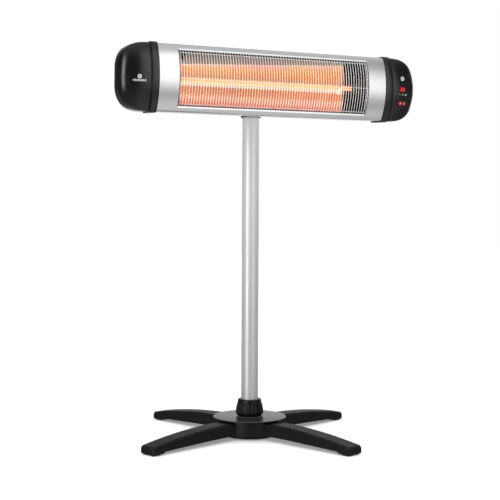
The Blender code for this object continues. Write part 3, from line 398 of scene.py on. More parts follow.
def bright_wire():
    """Plated guard wire, with the tube's light painted on below the tube and above the lower lip, and
    painted shade past the reflector's end.
    """
    s = Surface("bright_wire", (0.74, 0.73, 0.72), 0.25, 0.5)
    lines = s.noise(160.0, (8, 8, 0.6), 4.0)
    s.vary_color(lines, (0.66, 0.63, 0.62), (0.82, 0.81, 0.80))
    s.vary_roughness(lines, 0.18, 0.34)
    s.bump(lines, 0.00003, 0.5)
    # Painted light: glow colours by height stand in for the tube's light on the wires.
    lights = ((-0.055, (0.20, 0.05, 0.04)), (-0.050, (0.70, 0.52, 0.44)), (-0.038, (0.62, 0.48, 0.42)),
              (-0.034, (0.22, 0.08, 0.04)), (-0.020, (0.20, 0.07, 0.03)), (-0.017, (0.76, 0.60, 0.50)),
              (-0.010, (0.76, 0.60, 0.50)), (-0.006, (0.44, 0.24, 0.08)), (0.004, (0.34, 0.18, 0.10)),
              (0.008, (0.42, 0.18, 0.06)), (0.028, (0.58, 0.34, 0.18)), (0.033, (0.30, 0.22, 0.20)),
              (0.056, (0.05, 0.045, 0.045)))
    glow = s.ramp(s.axis("Z"), lights, -TROUGH_HALF, TROUGH_HALF)
    # Painted shade: past the reflector's right end the glow fades to near black.
    lit = s.ranged(s.axis("X"), REFLECTOR_RIGHT - 0.008, REFLECTOR_RIGHT + 0.008, 1.0, 0.0)
    s.glow(s.mix(lit, (0.015, 0.012, 0.012), glow), 0.8)
    return s.mat


def grained(name, color, tints, gloss, scales, relief, metallic=0.0, glow=None):
    """A plain surface between two tints, of uneven gloss and with a fine relief. The scales are those of
    the noises for tint, gloss and relief."""
    s = Surface(name, color, sum(gloss) / 2, metallic)
    s.vary_color(s.noise(scales[0]), *tints)
    s.vary_roughness(s.noise(scales[1]), *gloss)
    s.bump(s.noise(scales[2]), *relief)
    if glow:
        s.glow(*glow)
    return s.mat


def black_steel():
    """Matt black paint with a fine orange peel and wear along its edges."""
    color = (0.018, 0.018, 0.019)
    s = Surface("black_steel", color, 0.5, 0.3)
    peel = s.noise(260.0, detail=2.0)
    s.vary_color(s.noise(30.0), shade(color, 0.8), shade(color, 1.4))
    s.vary_roughness(peel, 0.42, 0.60)
    s.bump(peel, 0.0001, 0.5)
    return edge_wear_and_sheen(s, (0.09, 0.09, 0.09), 0.5)


def rubber():
    """Dusty moulded rubber."""
    color = (0.012, 0.012, 0.012)
    s = Surface("rubber", color, 0.85)
    s.vary_color(s.noise(80.0), shade(color, 0.7), (0.030, 0.029, 0.028))
    s.vary_roughness(s.noise(300.0), 0.75, 0.92)
    s.bump(s.cells(1200.0), 0.0001, 0.6)
    return s.mat


def glowing_reflector():
    """Folded bright sheet with the tube's light painted on: glow and a painted fold highlight follow the
    folds up the trough.
    """
    s = Surface("glowing_reflector", (0.5, 0.48, 0.46), 0.24, 1.0)
    slant = s.ranged(s.axis("Z"), 0.015, 0.035, 0.0, -0.041)
    height = s.math("ADD", s.axis("Z"), s.math("MULTIPLY", s.math("ADD", s.axis("X"), 0.08), slant))
    # Painted light: glow colours by height stand in for the tube's light reflected in the trough.
    painted_glow_levels = ((-0.057, (0.66, 0.15, 0.12)), (-0.046, (0.72, 0.22, 0.14)), (-0.038, (0.80, 0.35, 0.22)),
             (-0.030, (0.80, 0.27, 0.10)), (-0.018, (0.80, 0.22, 0.05)), (-0.012, (0.70, 0.20, 0.08)),
             (-0.0105, (0.92, 0.68, 0.52)), (0.003, (0.80, 0.62, 0.50)), (0.006, (0.60, 0.30, 0.16)),
             (0.0135, (0.52, 0.22, 0.09)), (0.0150, (0.72, 0.23, 0.04)), (0.0240, (0.78, 0.28, 0.04)),
             (0.0300, (0.80, 0.33, 0.11)), (0.0385, (0.74, 0.42, 0.30)), (0.0405, (0.56, 0.44, 0.42)),
             (0.0425, (0.20, 0.21, 0.21)), (0.0570, (0.12, 0.135, 0.14)))
    # Painted highlight: the base colour is bright along the upper fold and darker above it.
    painted_sheen_levels = ((-0.058, (0.26, 0.20, 0.16)), (0.039, (0.28, 0.22, 0.17)), (0.041, (0.75, 0.72, 0.70)),
              (0.0425, (0.16, 0.15, 0.15)), (0.058, (0.10, 0.09, 0.09)))
    glow, shine = (s.ramp(height, stops, -TROUGH_HALF, TROUGH_HALF) for stops in (painted_glow_levels, painted_sheen_levels))
    patches = s.ranged(s.noise(19.0, (1, 0.2, 0.35), 2.0), 0.35, 0.65)
    s.glow(s.mix(1.0, glow, s.mix(patches, (1.0, 0.78, 0.86), (1.0, 1.0, 0.70)), "MULTIPLY"), 0.80)
    rolled = s.noise(50.0, (0.2, 14, 14), 4.0)
    streaks = s.mix(s.ranged(rolled, 0.3, 0.7), (0.86, 0.86, 0.86), WHITE)
    s.set(Base_Color=s.mix(1.0, shine, streaks, "MULTIPLY"))
    s.vary_roughness(rolled, 0.18, 0.32)
    s.bump(rolled, 0.00005, 0.4)
    s.bump(s.noise(28.0), 0.0004, 0.25)
    return s.mat


def quartz():
    """Amber quartz full of light, with the coil's turns showing and a painted highlight along its underside.
    """
    s = Surface("quartz", (1.0, 0.50, 0.20), 0.12, 0.0, Transmission_Weight=0.3, IOR=1.46)
    wave = s.ranged(s.math("SINE", s.math("MULTIPLY", s.axis("Z"), TAU / COIL_PITCH)), -1.0, 1.0)
    band = s.mix(wave, (0.78, 0.34, 0.09), (0.92, 0.50, 0.16))
    # Painted highlight: the glow is brighter along the tube's underside.
    under = s.ranged(s.axis("X"), 0.0022, 0.0040)
    smoke = s.ranged(s.noise(30.0, (0.3, 0.3, 1)), 0.35, 0.65)
    smoked = s.mix(1.0, band, s.mix(smoke, (0.78, 0.66, 0.55), WHITE), "MULTIPLY")
    s.glow(s.mix(under, smoked, (1.15, 0.78, 0.51)), 0.47)
    s.vary_roughness(s.noise(70.0), 0.06, 0.16)
    return s.mat


def hot_wire():
    """Glowing coil, hotter in places."""
    s = Surface("hot_wire", (1.0, 0.62, 0.30), 0.5)
    s.vary_glow(s.noise(40.0, (1, 0.2, 0.2)), (1.0, 0.55, 0.16), (1.0, 0.80, 0.42), 1.0)
    s.bump(s.noise(900.0), 0.00005, 0.5)
    return s.mat


def board_green():
    """Solder mask over a pattern of tracks."""
    color = (0.02, 0.16, 0.07)
    s = Surface("board_green", color, 0.4)
    s.vary_color(s.cells(260.0), (0.02, 0.11, 0.05), (0.03, 0.22, 0.10))
    s.bump(s.cells(260.0), 0.0001, 0.4)
    return s.mat


def red_glass():
    """Dark red filter over the display, glowing towards its middle."""
    s = Surface("red_glass", (0.10, 0.002, 0.004), 0.1, 0.0, Coat_Weight=0.4, Coat_Roughness=0.05)
    spread = s.noise(90.0, detail=1.0)
    s.glow(s.mix(s.ranged(spread, 0.35, 0.65), (0.03, 0.0, 0.001), (0.14, 0.001, 0.006)), 0.8)
    s.vary_roughness(s.noise(200.0), 0.06, 0.14)
    return s.mat


def lit_digit():
    """Glowing bar of a display digit."""
    s = Surface("lit_digit", (0.9, 0.05, 0.06), 0.3)
    s.vary_glow(s.noise(300.0), (0.85, 0.010, 0.03), (1.0, 0.03, 0.06), 0.55)
    return s.mat


def red_switch():
    """Translucent red rocker with a lamp behind it."""
    s = Surface("red_switch", (0.20, 0.008, 0.008), 0.2, 0.0, Coat_Weight=0.5, Coat_Roughness=0.08)
    s.vary_glow(s.noise(110.0), (0.05, 0.0, 0.0), (0.14, 0.006, 0.004), 0.6)
    s.vary_roughness(s.noise(240.0), 0.14, 0.28)
    return s.mat


def white_print(name, strength):
    """White ink with a fine grain and a glow of that strength, painted light that makes the ink brighter."""
    s = Surface(name, (0.82, 0.82, 0.82), 0.5)
    s.vary_color(s.noise(900.0), (0.66, 0.66, 0.66), (0.88, 0.88, 0.88))
    s.bump(s.noise(1500.0), 0.00003, 0.4)
    # Painted light: the ink glows without a lamp behind it.
    s.glow((0.9, 0.9, 0.9), strength)
    return s.mat


def studio_floor():
    """Pale matt floor with a glow that hides its far edge."""
    s = Surface("studio_floor", (0.68, 0.68, 0.685), 0.9, 0.0, Specular_IOR_Level=0.1)
    s.vary_color(s.noise(1.5), (0.67, 0.67, 0.675), (0.69, 0.69, 0.695))
    s.glow(WHITE, FLOOR_GLOW)
    return s.mat


MATERIALS = {
    "satin_aluminium": brushed_aluminium(),
    "silver_paint": silver_paint(),
    "black_plastic": moulded_plastic("cap_plastic", (0.0035, 0.0032, 0.0042), (0.16, 0.26),
                                     1500.0, 0.00003, 0.62),
    "base_plastic": moulded_plastic("base_plastic", (0.0050, 0.0045, 0.0046), (0.42, 0.58),
                                    750.0, 0.00012, 0.25),
    "nut_plastic": moulded_plastic("nut_plastic", (0.0030, 0.0028, 0.0032), (0.30, 0.42),
                                   1100.0, 0.00003, 0.28),
    "gloss_panel": gloss_panel(),
    "cover_steel": cover_steel(),
    "steel": grained("plain_steel", (0.62, 0.62, 0.63),
                     ((0.496, 0.496, 0.504), (0.6696, 0.6696, 0.6804)),
                     (0.22, 0.42), (120.0, 700.0, 700.0), (0.00003, 0.5), 1.0),
    "bright_wire": bright_wire(),
    "black_steel": black_steel(),
    "dark_lining": grained("dark_lining", (0.010, 0.009, 0.009),
                           ((0.006, 0.005, 0.005), (0.018, 0.014, 0.013)),
                           (0.65, 0.85), (60.0, 60.0, 500.0), (0.0001, 0.4)),
    "rubber": rubber(),
    "bright_reflector": glowing_reflector(),
    "quartz": quartz(),
    "hot_wire": hot_wire(),
    "dark_ceramic": grained("dark_ceramic", (0.040, 0.037, 0.035),
                            ((0.030, 0.02775, 0.02625), (0.052, 0.0481, 0.0455)),
                            (0.50, 0.72), (120.0, 300.0, 700.0), (0.0001, 0.5)),
    # The clip's glow is painted light from the tube.
    "lit_ceramic": grained("lit_ceramic", (0.80, 0.76, 0.70), ((0.70, 0.66, 0.60), (0.86, 0.82, 0.78)),
                           (0.4, 0.6), (120.0, 300.0, 700.0), (0.0001, 0.5), glow=((1.0, 0.84, 0.70), 0.45)),
    "board_green": board_green(),
    "red_display": red_glass(),
    "lit_digit": lit_digit(),
    "red_switch": red_switch(),
    "white_print": white_print("white_print", 0.25),
    # The same ink without the painted glow.
    "dim_print": white_print("dim_print", 0.0),
    "lead_silicone": grained("silicone", (0.50, 0.09, 0.05),
                             ((0.40, 0.072, 0.040), (0.575, 0.1035, 0.0575)),
                             (0.6, 0.6), (160.0, 160.0, 500.0), (0.0001, 0.3)),
    "floor": studio_floor(),
}


# Mesh helpers --------------------------------------------------------------------------------------

def arc(centre, radius, start, end, steps):
    """Points of an arc in a plane, both ends included."""
    angles = [start + (end - start) * i / steps for i in range(steps + 1)]
    return [(centre[0] + radius * math.cos(a), centre[1] + radius * math.sin(a)) for a in angles]


def fillet(profile, radius, steps=4, closed=True):
    """Round a profile's corners. Corners on the axis stay sharp."""
    points = []
    count = len(profile)
    for i, corner in enumerate(profile):
        here = Vector(corner)
        if (not closed and i in (0, count - 1)) or here.x < 1e-6:
            points.append(corner)
            continue
        before = Vector(profile[i - 1]) - here
        after = Vector(profile[(i + 1) % count]) - here
        reach = min(radius, before.length * 0.45, after.length * 0.45)
        a = here + before.normalized() * reach
        b = here + after.normalized() * reach
        for k in range(steps + 1):
            t = k / steps
            points.append(tuple(a * (1 - t) ** 2 + here * 2 * t * (1 - t) + b * t ** 2))
    return points


def loft(rings, closed=False, capped=True):
    """Join rings of equally many points, and cap the ends unless the loft is closed."""
    bm = bmesh.new()
    rows = [[bm.verts.new(point) for point in ring] for ring in rings]
    count = len(rows[0])
    pairs = list(zip(rows, rows[1:]))
    if closed:
        pairs.append((rows[-1], rows[0]))
    for low, high in pairs:
        for i in range(count):
            j = (i + 1) % count
            bm.faces.new((low[i], low[j], high[j], high[i]))
    if capped and not closed:
        bm.faces.new(rows[0])
        bm.faces.new(rows[-1])
    bmesh.ops.recalc_face_normals(bm, faces=bm.faces)
    return bm


def merged(bm, distance=1e-7):
    """The mesh with double points joined and all faces turned outwards."""
    bmesh.ops.remove_doubles(bm, verts=bm.verts, dist=distance)
    bmesh.ops.dissolve_degenerate(bm, dist=distance, edges=bm.edges)
    bmesh.ops.recalc_face_normals(bm, faces=bm.faces)
    return bm


def lathe(profile, segments=96, radius=0.0, steps=4):
    """Turn a closed profile of (radius, z) about Z, with its corners rounded."""
    if radius:
        profile = fillet(profile, radius, steps)
    rings = []
    for k in range(segments):
        c, s = math.cos(TAU * k / segments), math.sin(TAU * k / segments)
        rings.append([(r * c, r * s, z) for r, z in profile])
    return merged(loft(rings, closed=True))


def prism(outline, low, high):
    """An outline in x and y as a solid between two heights."""
    return loft([[(x, y, low) for x, y in outline], [(x, y, high) for x, y in outline]])


def block(x_range, y_range, z_range):
    """A box from its ranges in x, y and z."""
    (x0, x1), (y0, y1) = x_range, y_range
    return prism([(x0, y0), (x1, y0), (x1, y1), (x0, y1)], *z_range)


def rod(radius, low, high, segments=48, along=None):
    """A cylinder along Z, or turned by a matrix."""
    shape = prism(arc((0, 0), radius, 0, TAU * (segments - 1) / segments, segments - 1), low, high)
    return moved(shape, along) if along else shape


def sector(outer, inner, start, end, steps):
    """Outline of a part of a ring."""
    return arc((0, 0), outer, start, end, steps) + arc((0, 0), inner, end, start, steps)


def rounded_rectangle(width, height, radius, steps=6):
    """Outline of a rectangle about the origin, with round corners."""
    points = []
    for k, (sx, sy) in enumerate(((1, 1), (-1, 1), (-1, -1), (1, -1))):
        centre = (sx * (width / 2 - radius), sy * (height / 2 - radius))
        points += arc(centre, radius, k * math.pi / 2, (k + 1) * math.pi / 2, steps)
    return points


def moved(bm, matrix):
    """The same mesh, transformed."""
    bmesh.ops.transform(bm, matrix=matrix, verts=bm.verts)
    return bm


def shifted(bm, x=0.0, y=0.0, z=0.0):
    """The same mesh, moved along the axes."""
    return moved(bm, Matrix.Translation((x, y, z)))


def at(frame_matrix, x=0.0, y=0.0, z=0.0):
    """A frame moved along its own axes."""
    return frame_matrix @ Matrix.Translation((x, y, z))


def gather(meshes):
    """Several meshes as one. The given ones are used up."""
    whole = bmesh.new()
    for bm in meshes:
        mesh = bpy.data.meshes.new("part")
        bm.to_mesh(mesh)
        bm.free()
        whole.from_mesh(mesh)
        bpy.data.meshes.remove(mesh)
    return whole


def sweep(path, radius, sides=10, closed=False):
    """A round tube along a path, without twist."""
    points = [Vector(p) for p in path]
    count = len(points)
    tangents = []
    for i in range(count):
        a = points[i - 1] if closed or i else points[0]
        b = points[(i + 1) % count] if closed or i < count - 1 else points[-1]
        tangents.append((b - a).normalized())
    helper = Vector((0, 0, 1)) if abs(tangents[0].z) < 0.9 else Vector((1, 0, 0))
    normal = (helper - tangents[0] * helper.dot(tangents[0])).normalized()
    rings = []
    for point, tangent in zip(points, tangents):
        normal = (normal - tangent * normal.dot(tangent)).normalized()
        side = tangent.cross(normal)
        angles = [TAU * k / sides for k in range(sides)]
        rings.append([point + (normal * math.cos(a) + side * math.sin(a)) * radius for a in angles])
    return loft(rings, closed=closed)


def soften(obj, angle):
    """Smooth shading, broken at edges sharper than the angle."""
    obj.data.shade_smooth()
    obj.data.set_sharp_from_angle(angle=math.radians(angle))


def make(name, bm, finish, matrix=None, angle=32):
    """An object of a mesh, smooth except at sharp edges."""
    mesh = bpy.data.meshes.new(name)
    bm.to_mesh(mesh)
    bm.free()
    obj = bpy.data.objects.new(name, mesh)
    bpy.context.scene.collection.objects.link(obj)
    if matrix:
        obj.matrix_world = matrix
    for one in [finish] if isinstance(finish, str) else finish:
        mesh.materials.append(MATERIALS[one])
    soften(obj, angle)
    return obj


def cut(obj, bm, operation="DIFFERENCE", angle=32):
    """Apply a Boolean with a shape in the object's own frame."""
    tool = make("tool", bm, "steel", obj.matrix_world)
    boolean = obj.modifiers.new("Boolean", "BOOLEAN")
    boolean.operation = operation
    boolean.object = tool
    boolean.solver = "EXACT"
    bpy.context.view_layer.update()
    shape = bpy.data.meshes.new_from_object(obj.evaluated_get(bpy.context.evaluated_depsgraph_get()))
    obj.modifiers.remove(boolean)
    before = obj.data
    obj.data = shape
    bpy.data.meshes.remove(before)
    bpy.data.objects.remove(tool)
    shape.name = obj.name
    soften(obj, angle)


def bevelled(obj, width, segments=2, angle=35):
    """Round the edges that are sharper than the angle."""
    bevel = obj.modifiers.new("Bevel", "BEVEL")
    bevel.width = width
    bevel.segments = segments
    bevel.limit_method = "ANGLE"
    bevel.angle_limit = math.radians(angle)
    bevel.harden_normals = False


def fit(obj, body, nodes=()):
    """Ride on a body and stand for CAD nodes."""
    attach(obj, body)
    if nodes:
        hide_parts(*([nodes] if isinstance(nodes, str) else nodes))


def screw_shape(head_radius, head_height, shank_radius, shank_length):
    """Pan-head screw along Z with a cross recess: the head stands on the origin's plane."""
    dome = [(head_radius * math.cos(a), head_height * math.sin(a) ** 0.8)
            for a in (math.pi / 2 * k / 8 for k in range(8))]
    profile = [(0, -shank_length), (shank_radius, -shank_length), (shank_radius, 0), *dome, (0, head_height)]
    return lathe(profile, 32)


def make_screw(name, node, matrix, body, sizes, finish="steel"):
    """A cross-recessed screw in place of a CAD screw."""
    head_radius, head_height = sizes[:2]
    obj = make(name, screw_shape(*sizes), finish, matrix)
    arm, half = head_radius * 0.55, head_radius * 0.11
    low = head_height * 0.35
    cut(obj, block((-arm, arm), (-half, half), (low, head_height + 0.001)))
    cut(obj, block((-half, half), (-arm, arm), (low, head_height + 0.001)))
    fit(obj, body, node)


# Base ----------------------------------------------------------------------------------------------

def leg_turn(k):
    """Turn about the mast that brings a leg from the X axis to its place."""
    return Matrix.Rotation(LEG_FIRST_ANGLE + k * TAU / LEG_COUNT, 4, "Z")


def leg_top(r):
    """Height of the leg's upper edge at a distance from the mast."""
    fall = (LEG_CREST_Z - LEG_TIP_Z) / (LEG_REACH - LEG_CREST_R) ** 2
    return LEG_CREST_Z - fall * (r - LEG_CREST_R) ** 2


def leg_section(y):
    """The leg's side view as (x, y, z) at a distance y from its middle plane."""
    inset = max(0.0, LEG_CHAMFER - (LEG_WIDTH / 2 - abs(y)))
    root = math.sqrt((HUB_RADIUS + GAP) ** 2 - y ** 2)
    tip = LEG_REACH - inset * 0.7
    shoulder = LEG_REACH - LEG_CHAMFER - inset * 0.4
    heel = LEG_REACH - FOOT_LENGTH
    low = PAD_THICKNESS + GAP
    steps = 30
    points = [(root, LEG_ARCH_Z)]
    for i in range(steps + 1):
        r = root + (shoulder - root) * i / steps
        points.append((r, leg_top(r) - inset))
    points.append((tip, LEG_TIP_Z - LEG_CHAMFER - inset * 0.2))
    points += [(tip, low + 0.001), (tip - 0.001, low), (heel, low), (heel - FOOT_SLOPE, LEG_HEEL_Z)]
    arch = 14
    for i in range(1, arch):
        r = heel - FOOT_SLOPE + (root - heel + FOOT_SLOPE) * i / arch
        points.append((r, LEG_HEEL_Z + (LEG_ARCH_Z - LEG_HEEL_Z) * math.sin(math.pi / 2 * i / arch)))
    return [(r, y, z) for r, z in points]


def make_legs():
    """Four arched legs with chamfered edges, each with its screw from under the hub."""
    half = LEG_WIDTH / 2
    flat = half - LEG_CHAMFER
    inner = [flat * k / 4 for k in range(-4, 5)]
    stations = [-half, -half + 0.002, *inner, half - 0.002, half]
    for k in range(LEG_COUNT):
        leg = make(f"leg_shell_{k + 1}", loft([leg_section(y) for y in stations]), "base_plastic",
                   leg_turn(k), 28)
        bevelled(leg, 0.0006, 2, 28)
        fit(leg, "base", f"leg_{k + 1}")
        place = at(leg_turn(k), LEG_SCREW_R, 0, LEG_SCREW_Z) @ Matrix.Rotation(math.pi, 4, "X")
        make_screw(f"leg_fixing_{k + 1}", f"leg_screw_{k + 1}", place, "base", LEG_SCREW)


def make_hub():
    """Drum on a narrower foot, with a moulded groove round it and counterbored holes underneath."""
    bore = SLEEVE_RADIUS + GAP
    foot = HUB_FOOT_HIGH_Z
    grooved = HUB_RADIUS - 0.0007
    profile = [(bore, HUB_SEAT_Z), (HUB_WELL_RADIUS, HUB_SEAT_Z), (HUB_WELL_RADIUS, HUB_LOW_Z),
               (HUB_FOOT_RADIUS, HUB_LOW_Z), (HUB_FOOT_RADIUS, foot), (HUB_RADIUS, foot),
               (HUB_RADIUS, foot + 0.0030), (grooved, foot + 0.0034), (grooved, foot + 0.0046),
               (HUB_RADIUS, foot + 0.0050), (HUB_RADIUS, HUB_HIGH_Z), (bore, HUB_HIGH_Z)]
    hub = make("hub_drum", lathe(profile, 128, 0.0008, 3), "base_plastic")
    hole = LEG_SCREW[0] + 0.0007
    holes = [moved(shifted(rod(hole, -0.002, LEG_SCREW_Z + GAP), x=LEG_SCREW_R), leg_turn(k))
             for k in range(LEG_COUNT)]
    cut(hub, gather(holes))
    fit(hub, "base", "hub")


def make_cover():
    """Shallow dome with a rolled edge."""
    low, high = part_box("hub_cover")
    inner = SLEEVE_RADIUS + 2 * GAP
    flat = FLANGE_RADIUS + 0.004
    thick = 0.0016
    crown = high.z - thick
    droop = crown - low.z
    edge = COVER_RADIUS - 0.0012
    spans = [flat + (edge - flat) * i / 12 for i in range(13)]
    under = [(inner, crown)] + [(r, crown - droop * ((r - flat) / (edge - flat)) ** 2) for r in spans]
    top = [(r, z + thick) for r, z in reversed(under[1:])]
    rim = [(edge + 0.0006, low.z + 0.0001), (COVER_RADIUS, low.z + thick * 0.45),
           (edge + 0.0005, low.z + thick)]
    profile = under + rim + top + [(inner, crown + thick)]
    cover = make("cover_disc", lathe(profile, 160), "cover_steel", angle=50)
    fit(cover, "base", "hub_cover")


def nut_ring(radius, ribs, z):
    """A ring of that radius over its ribs, with grooves of depth ribs between them."""
    points = []
    count = NUT_RIBS * 14
    for i in range(count):
        angle = TAU * i / count
        wave = max(-1.0, min(1.0, 1.7 * math.cos(NUT_RIBS * angle)))
        r = radius - ribs / 2 + ribs / 2 * wave
        points.append((r * math.cos(angle), r * math.sin(angle), z))
    return points


def make_nut():
    """Bell-shaped clamp nut: ribbed skirt and a smooth band round its top."""
    low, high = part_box("clamp_nut")
    inside = SLEEVE_RADIUS + 2 * GAP
    mouth = MAST_RADIUS + 0.0012
    shoulder = high.z - 0.0045
    foot = low.z
    skirt = [(0.0282, 0.0, 0.0), (0.0288, 0.0, 0.0002), (0.0314, 0.0002, 0.0022), (0.0332, 0.0012, 0.0044),
             (0.0345, 0.0018, 0.0070), (0.0344, 0.0018, 0.0110), (0.0336, 0.0017, 0.0180),
             (0.0324, 0.0016, 0.0240), (0.0314, 0.0014, 0.0290), (0.0306, 0.0012, 0.0308)]
    band = [(0.0297, 0.0, 0.0314), (0.0292, 0.0, 0.0318), (0.0292, 0.0, 0.0326), (0.0297, 0.0, 0.0331),
            (0.0292, 0.0, 0.0375)]
    rings = [nut_ring(inside, 0.0, foot)]
    rings += [nut_ring(radius, ribs, foot + z) for radius, ribs, z in skirt + band]
    rings += [nut_ring(radius, 0.0, z) for radius, z in (
        (0.0285, high.z - 0.0006), (0.0277, high.z), (mouth + 0.0006, high.z), (mouth, high.z - 0.0006),
        (mouth, shoulder), (inside, shoulder))]
    bell = make("nut_bell", loft(rings, closed=True), "nut_plastic", angle=40)
    fit(bell, "clamp_nut", "clamp_nut")


# Mast ----------------------------------------------------------------------------------------------

def make_mast():
    """Plain round tube."""
    low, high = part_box("mast_tube")
    inner = MAST_RADIUS - MAST_WALL
    profile = [(inner, low.z), (MAST_RADIUS, low.z), (MAST_RADIUS, high.z), (inner, high.z)]
    profile = fillet(profile, 0.0004, 3)
    fit(make("mast_pole", lathe(profile, 160), "silver_paint"), "mast", "mast_tube")


def make_fitting():
    """Collar over the mast's top with a rounded tongue for the tilt joint."""
    low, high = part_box("mast_fitting")
    screw_low, screw_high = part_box("fitting_screw")
    radius = FITTING_RADIUS
    bore = MAST_RADIUS + GAP
    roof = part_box("mast_tube")[1].z + GAP
    top = FITTING_HIGH_Z
    profile = [(bore, low.z), (radius, low.z), (radius, low.z + 0.003), (radius - 0.0006, low.z + 0.0034),
               (radius - 0.0006, low.z + 0.0050), (radius, low.z + 0.0054), (radius, top - 0.004),
               (radius - 0.005, top), (0, top), (0, roof), (bore, roof)]
    fitting = make("mast_collar", lathe(profile, 96, 0.0006, 3), "black_plastic")
    tongue_radius = high.z - PIVOT_Z
    foot = top - 0.006 - PIVOT_Z
    outline = [(-tongue_radius, foot), *arc((0, 0), tongue_radius, math.pi, 0, 40), (tongue_radius, foot)]
    tongue = moved(prism(outline, -TONGUE_HALF, TONGUE_HALF), EDGE_TO_X)
    cut(fitting, shifted(tongue, z=PIVOT_Z), "UNION")
    cut(fitting, shifted(rod(BOLT_RADIUS + GAP, -0.02, 0.02, along=ALONG_X), z=PIVOT_Z))
    screw_z = (screw_low.z + screw_high.z) / 2
    cut(fitting, shifted(rod(FITTING_SCREW[2] + GAP, 0.015, 0.030, along=ALONG_Y), z=screw_z))
    bevelled(fitting, 0.0005)
    fit(fitting, "mast", "mast_fitting")
    place = Matrix.Translation((0, radius + GAP, screw_z)) @ ALONG_Y
    make_screw("collar_fixing", "fitting_screw", place, "mast", FITTING_SCREW)


# Head shell ----------------------------------------------------------------------------------------

def head_outline(offset=0.0, front_steps=44):
    """The head's section as (y, z), moved outwards by offset."""
    edge_z = HALF_HEIGHT - EDGE_RADIUS
    edge_y = FRONT_CENTRE - math.sqrt((FRONT_RADIUS - EDGE_RADIUS) ** 2 - edge_z ** 2)
    spread = math.atan2(edge_z, FRONT_CENTRE - edge_y)
    back_y = BACK_DEPTH - BACK_RADIUS
    back_z = HALF_HEIGHT - BACK_RADIUS
    half = math.pi / 2
    points = arc((FRONT_CENTRE, 0), FRONT_RADIUS + offset, math.pi + spread, math.pi - spread, front_steps)
    points += arc((edge_y, edge_z), EDGE_RADIUS + offset, math.pi - spread, half, 10)[1:]
    points += arc((back_y, back_z), BACK_RADIUS + offset, half, 0, 10)
    points += arc((back_y, -back_z), BACK_RADIUS + offset, 0, -half, 10)
    points += arc((edge_y, -edge_z), EDGE_RADIUS + offset, -half, spread - math.pi, 10)[:-1]
    return points


def head_ring(x, offset=0.0, scale=1.0):
    """The head's section at x, scaled about the caps' middle line."""
    return [(x, CAP_CENTRE_Y + (y - CAP_CENTRE_Y) * scale, z * scale) for y, z in head_outline(offset)]


def front_y(z, depth=0.0):
    """y of the front surface, or of a surface that much behind it."""
    return FRONT_CENTRE - math.sqrt((FRONT_RADIUS - depth) ** 2 - z ** 2)


def window_lip(bm, columns, heights):
    """Turn the window's edge inwards as a narrow bevel with a rounded return, mitred at the corners."""
    profile = [(0.0, 0.0), (0.9, 0.9), (0.98, 1.05), (1.0, 1.25), (1.0, 1.45)]
    loops = []
    for inset, depth in profile:
        depth *= LIP_DEPTH
        wide = WINDOW_HALF_WIDTH + LIP_WIDTH * (1 - inset)
        tall = WINDOW_HALF_HEIGHT + LIP_WIDTH * (1 - inset)
        share_x = wide / (WINDOW_HALF_WIDTH + LIP_WIDTH)
        share_z = tall / (WINDOW_HALF_HEIGHT + LIP_WIDTH)
        xs = [x * share_x for x in columns]
        zs = [z * share_z for z in heights]
        border = [(x, zs[0]) for x in xs] + [(xs[-1], z) for z in zs[1:]]
        border += [(x, zs[-1]) for x in reversed(xs[:-1])] + [(xs[0], z) for z in reversed(zs[1:-1])]
        loops.append([bm.verts.new((x, front_y(z) + depth, z)) for x, z in border])
    for low, high in zip(loops, loops[1:]):
        for i in range(len(low)):
            j = (i + 1) % len(low)
            bm.faces.new((low[i], low[j], high[j], high[i]))


def shell_section(heights, tall):
    """The shell's section as (y, z): the window's heights first, then the rest, round over the back."""
    outline = head_outline()
    in_window = [y < BACK_DEPTH / 2 and abs(z) < tall + 0.0005 for y, z in outline]
    first = in_window.index(True)
    after = first + sum(in_window)
    return [(front_y(z), z) for z in heights] + outline[after:] + outline[:first]


def make_housing():
    """Extruded shell with a rolled window opening, black inside."""
    wide = WINDOW_HALF_WIDTH + LIP_WIDTH
    tall = WINDOW_HALF_HEIGHT + LIP_WIDTH
    spread = math.asin(tall / FRONT_RADIUS)
    steps = 28
    heights = [FRONT_RADIUS * math.sin(-spread + 2 * spread * k / steps) for k in range(steps + 1)]
    section = shell_section(heights, tall)
    ends = (HOUSING_HALF, HOUSING_HALF - 0.001, CAP_START + 0.001, CAP_START - 0.004, wide + 0.0015)
    window_columns = [-wide + 2 * wide * k / 8 for k in range(9)]
    columns = [-x for x in ends] + window_columns + list(reversed(ends))
    bm = bmesh.new()
    grid = [[bm.verts.new((x, y, z)) for y, z in section] for x in columns]
    for i, (here, there) in enumerate(zip(grid, grid[1:])):
        open_here = len(ends) <= i < len(columns) - len(ends) - 1
        for j in range(steps if open_here else 0, len(section)):
            k = (j + 1) % len(section)
            bm.faces.new((here[j], here[k], there[k], there[j]))
    window_lip(bm, window_columns, heights)
    merged(bm, 1e-6)
    housing = make("head_shell", bm, ("satin_aluminium", "dark_lining"), HEAD, 24)
    solid = housing.modifiers.new("Solidify", "SOLIDIFY")
    solid.thickness = SKIN
    solid.offset = -1.0
    solid.material_offset = 1
    solid.material_offset_rim = 0
    fit(housing, "head", "housing")


def cap_scale(t):
    """How much the dome has narrowed at a part t of its length."""
    return max(0.0, 1 - t ** CAP_POWER) ** (1 / CAP_POWER)


def dome_rings(length, offset, steps):
    """From the dome's foot to its tip, closer together where it curves most."""
    rings = []
    for k in range(steps + 1):
        angle = math.pi / 2 * k / steps
        t = math.sin(angle) ** (2 / CAP_POWER)
        scale = max(math.cos(angle) ** (2 / CAP_POWER), 0.0005)
        rings.append((CAP_DOME_START + length * t, offset, scale))
    return rings


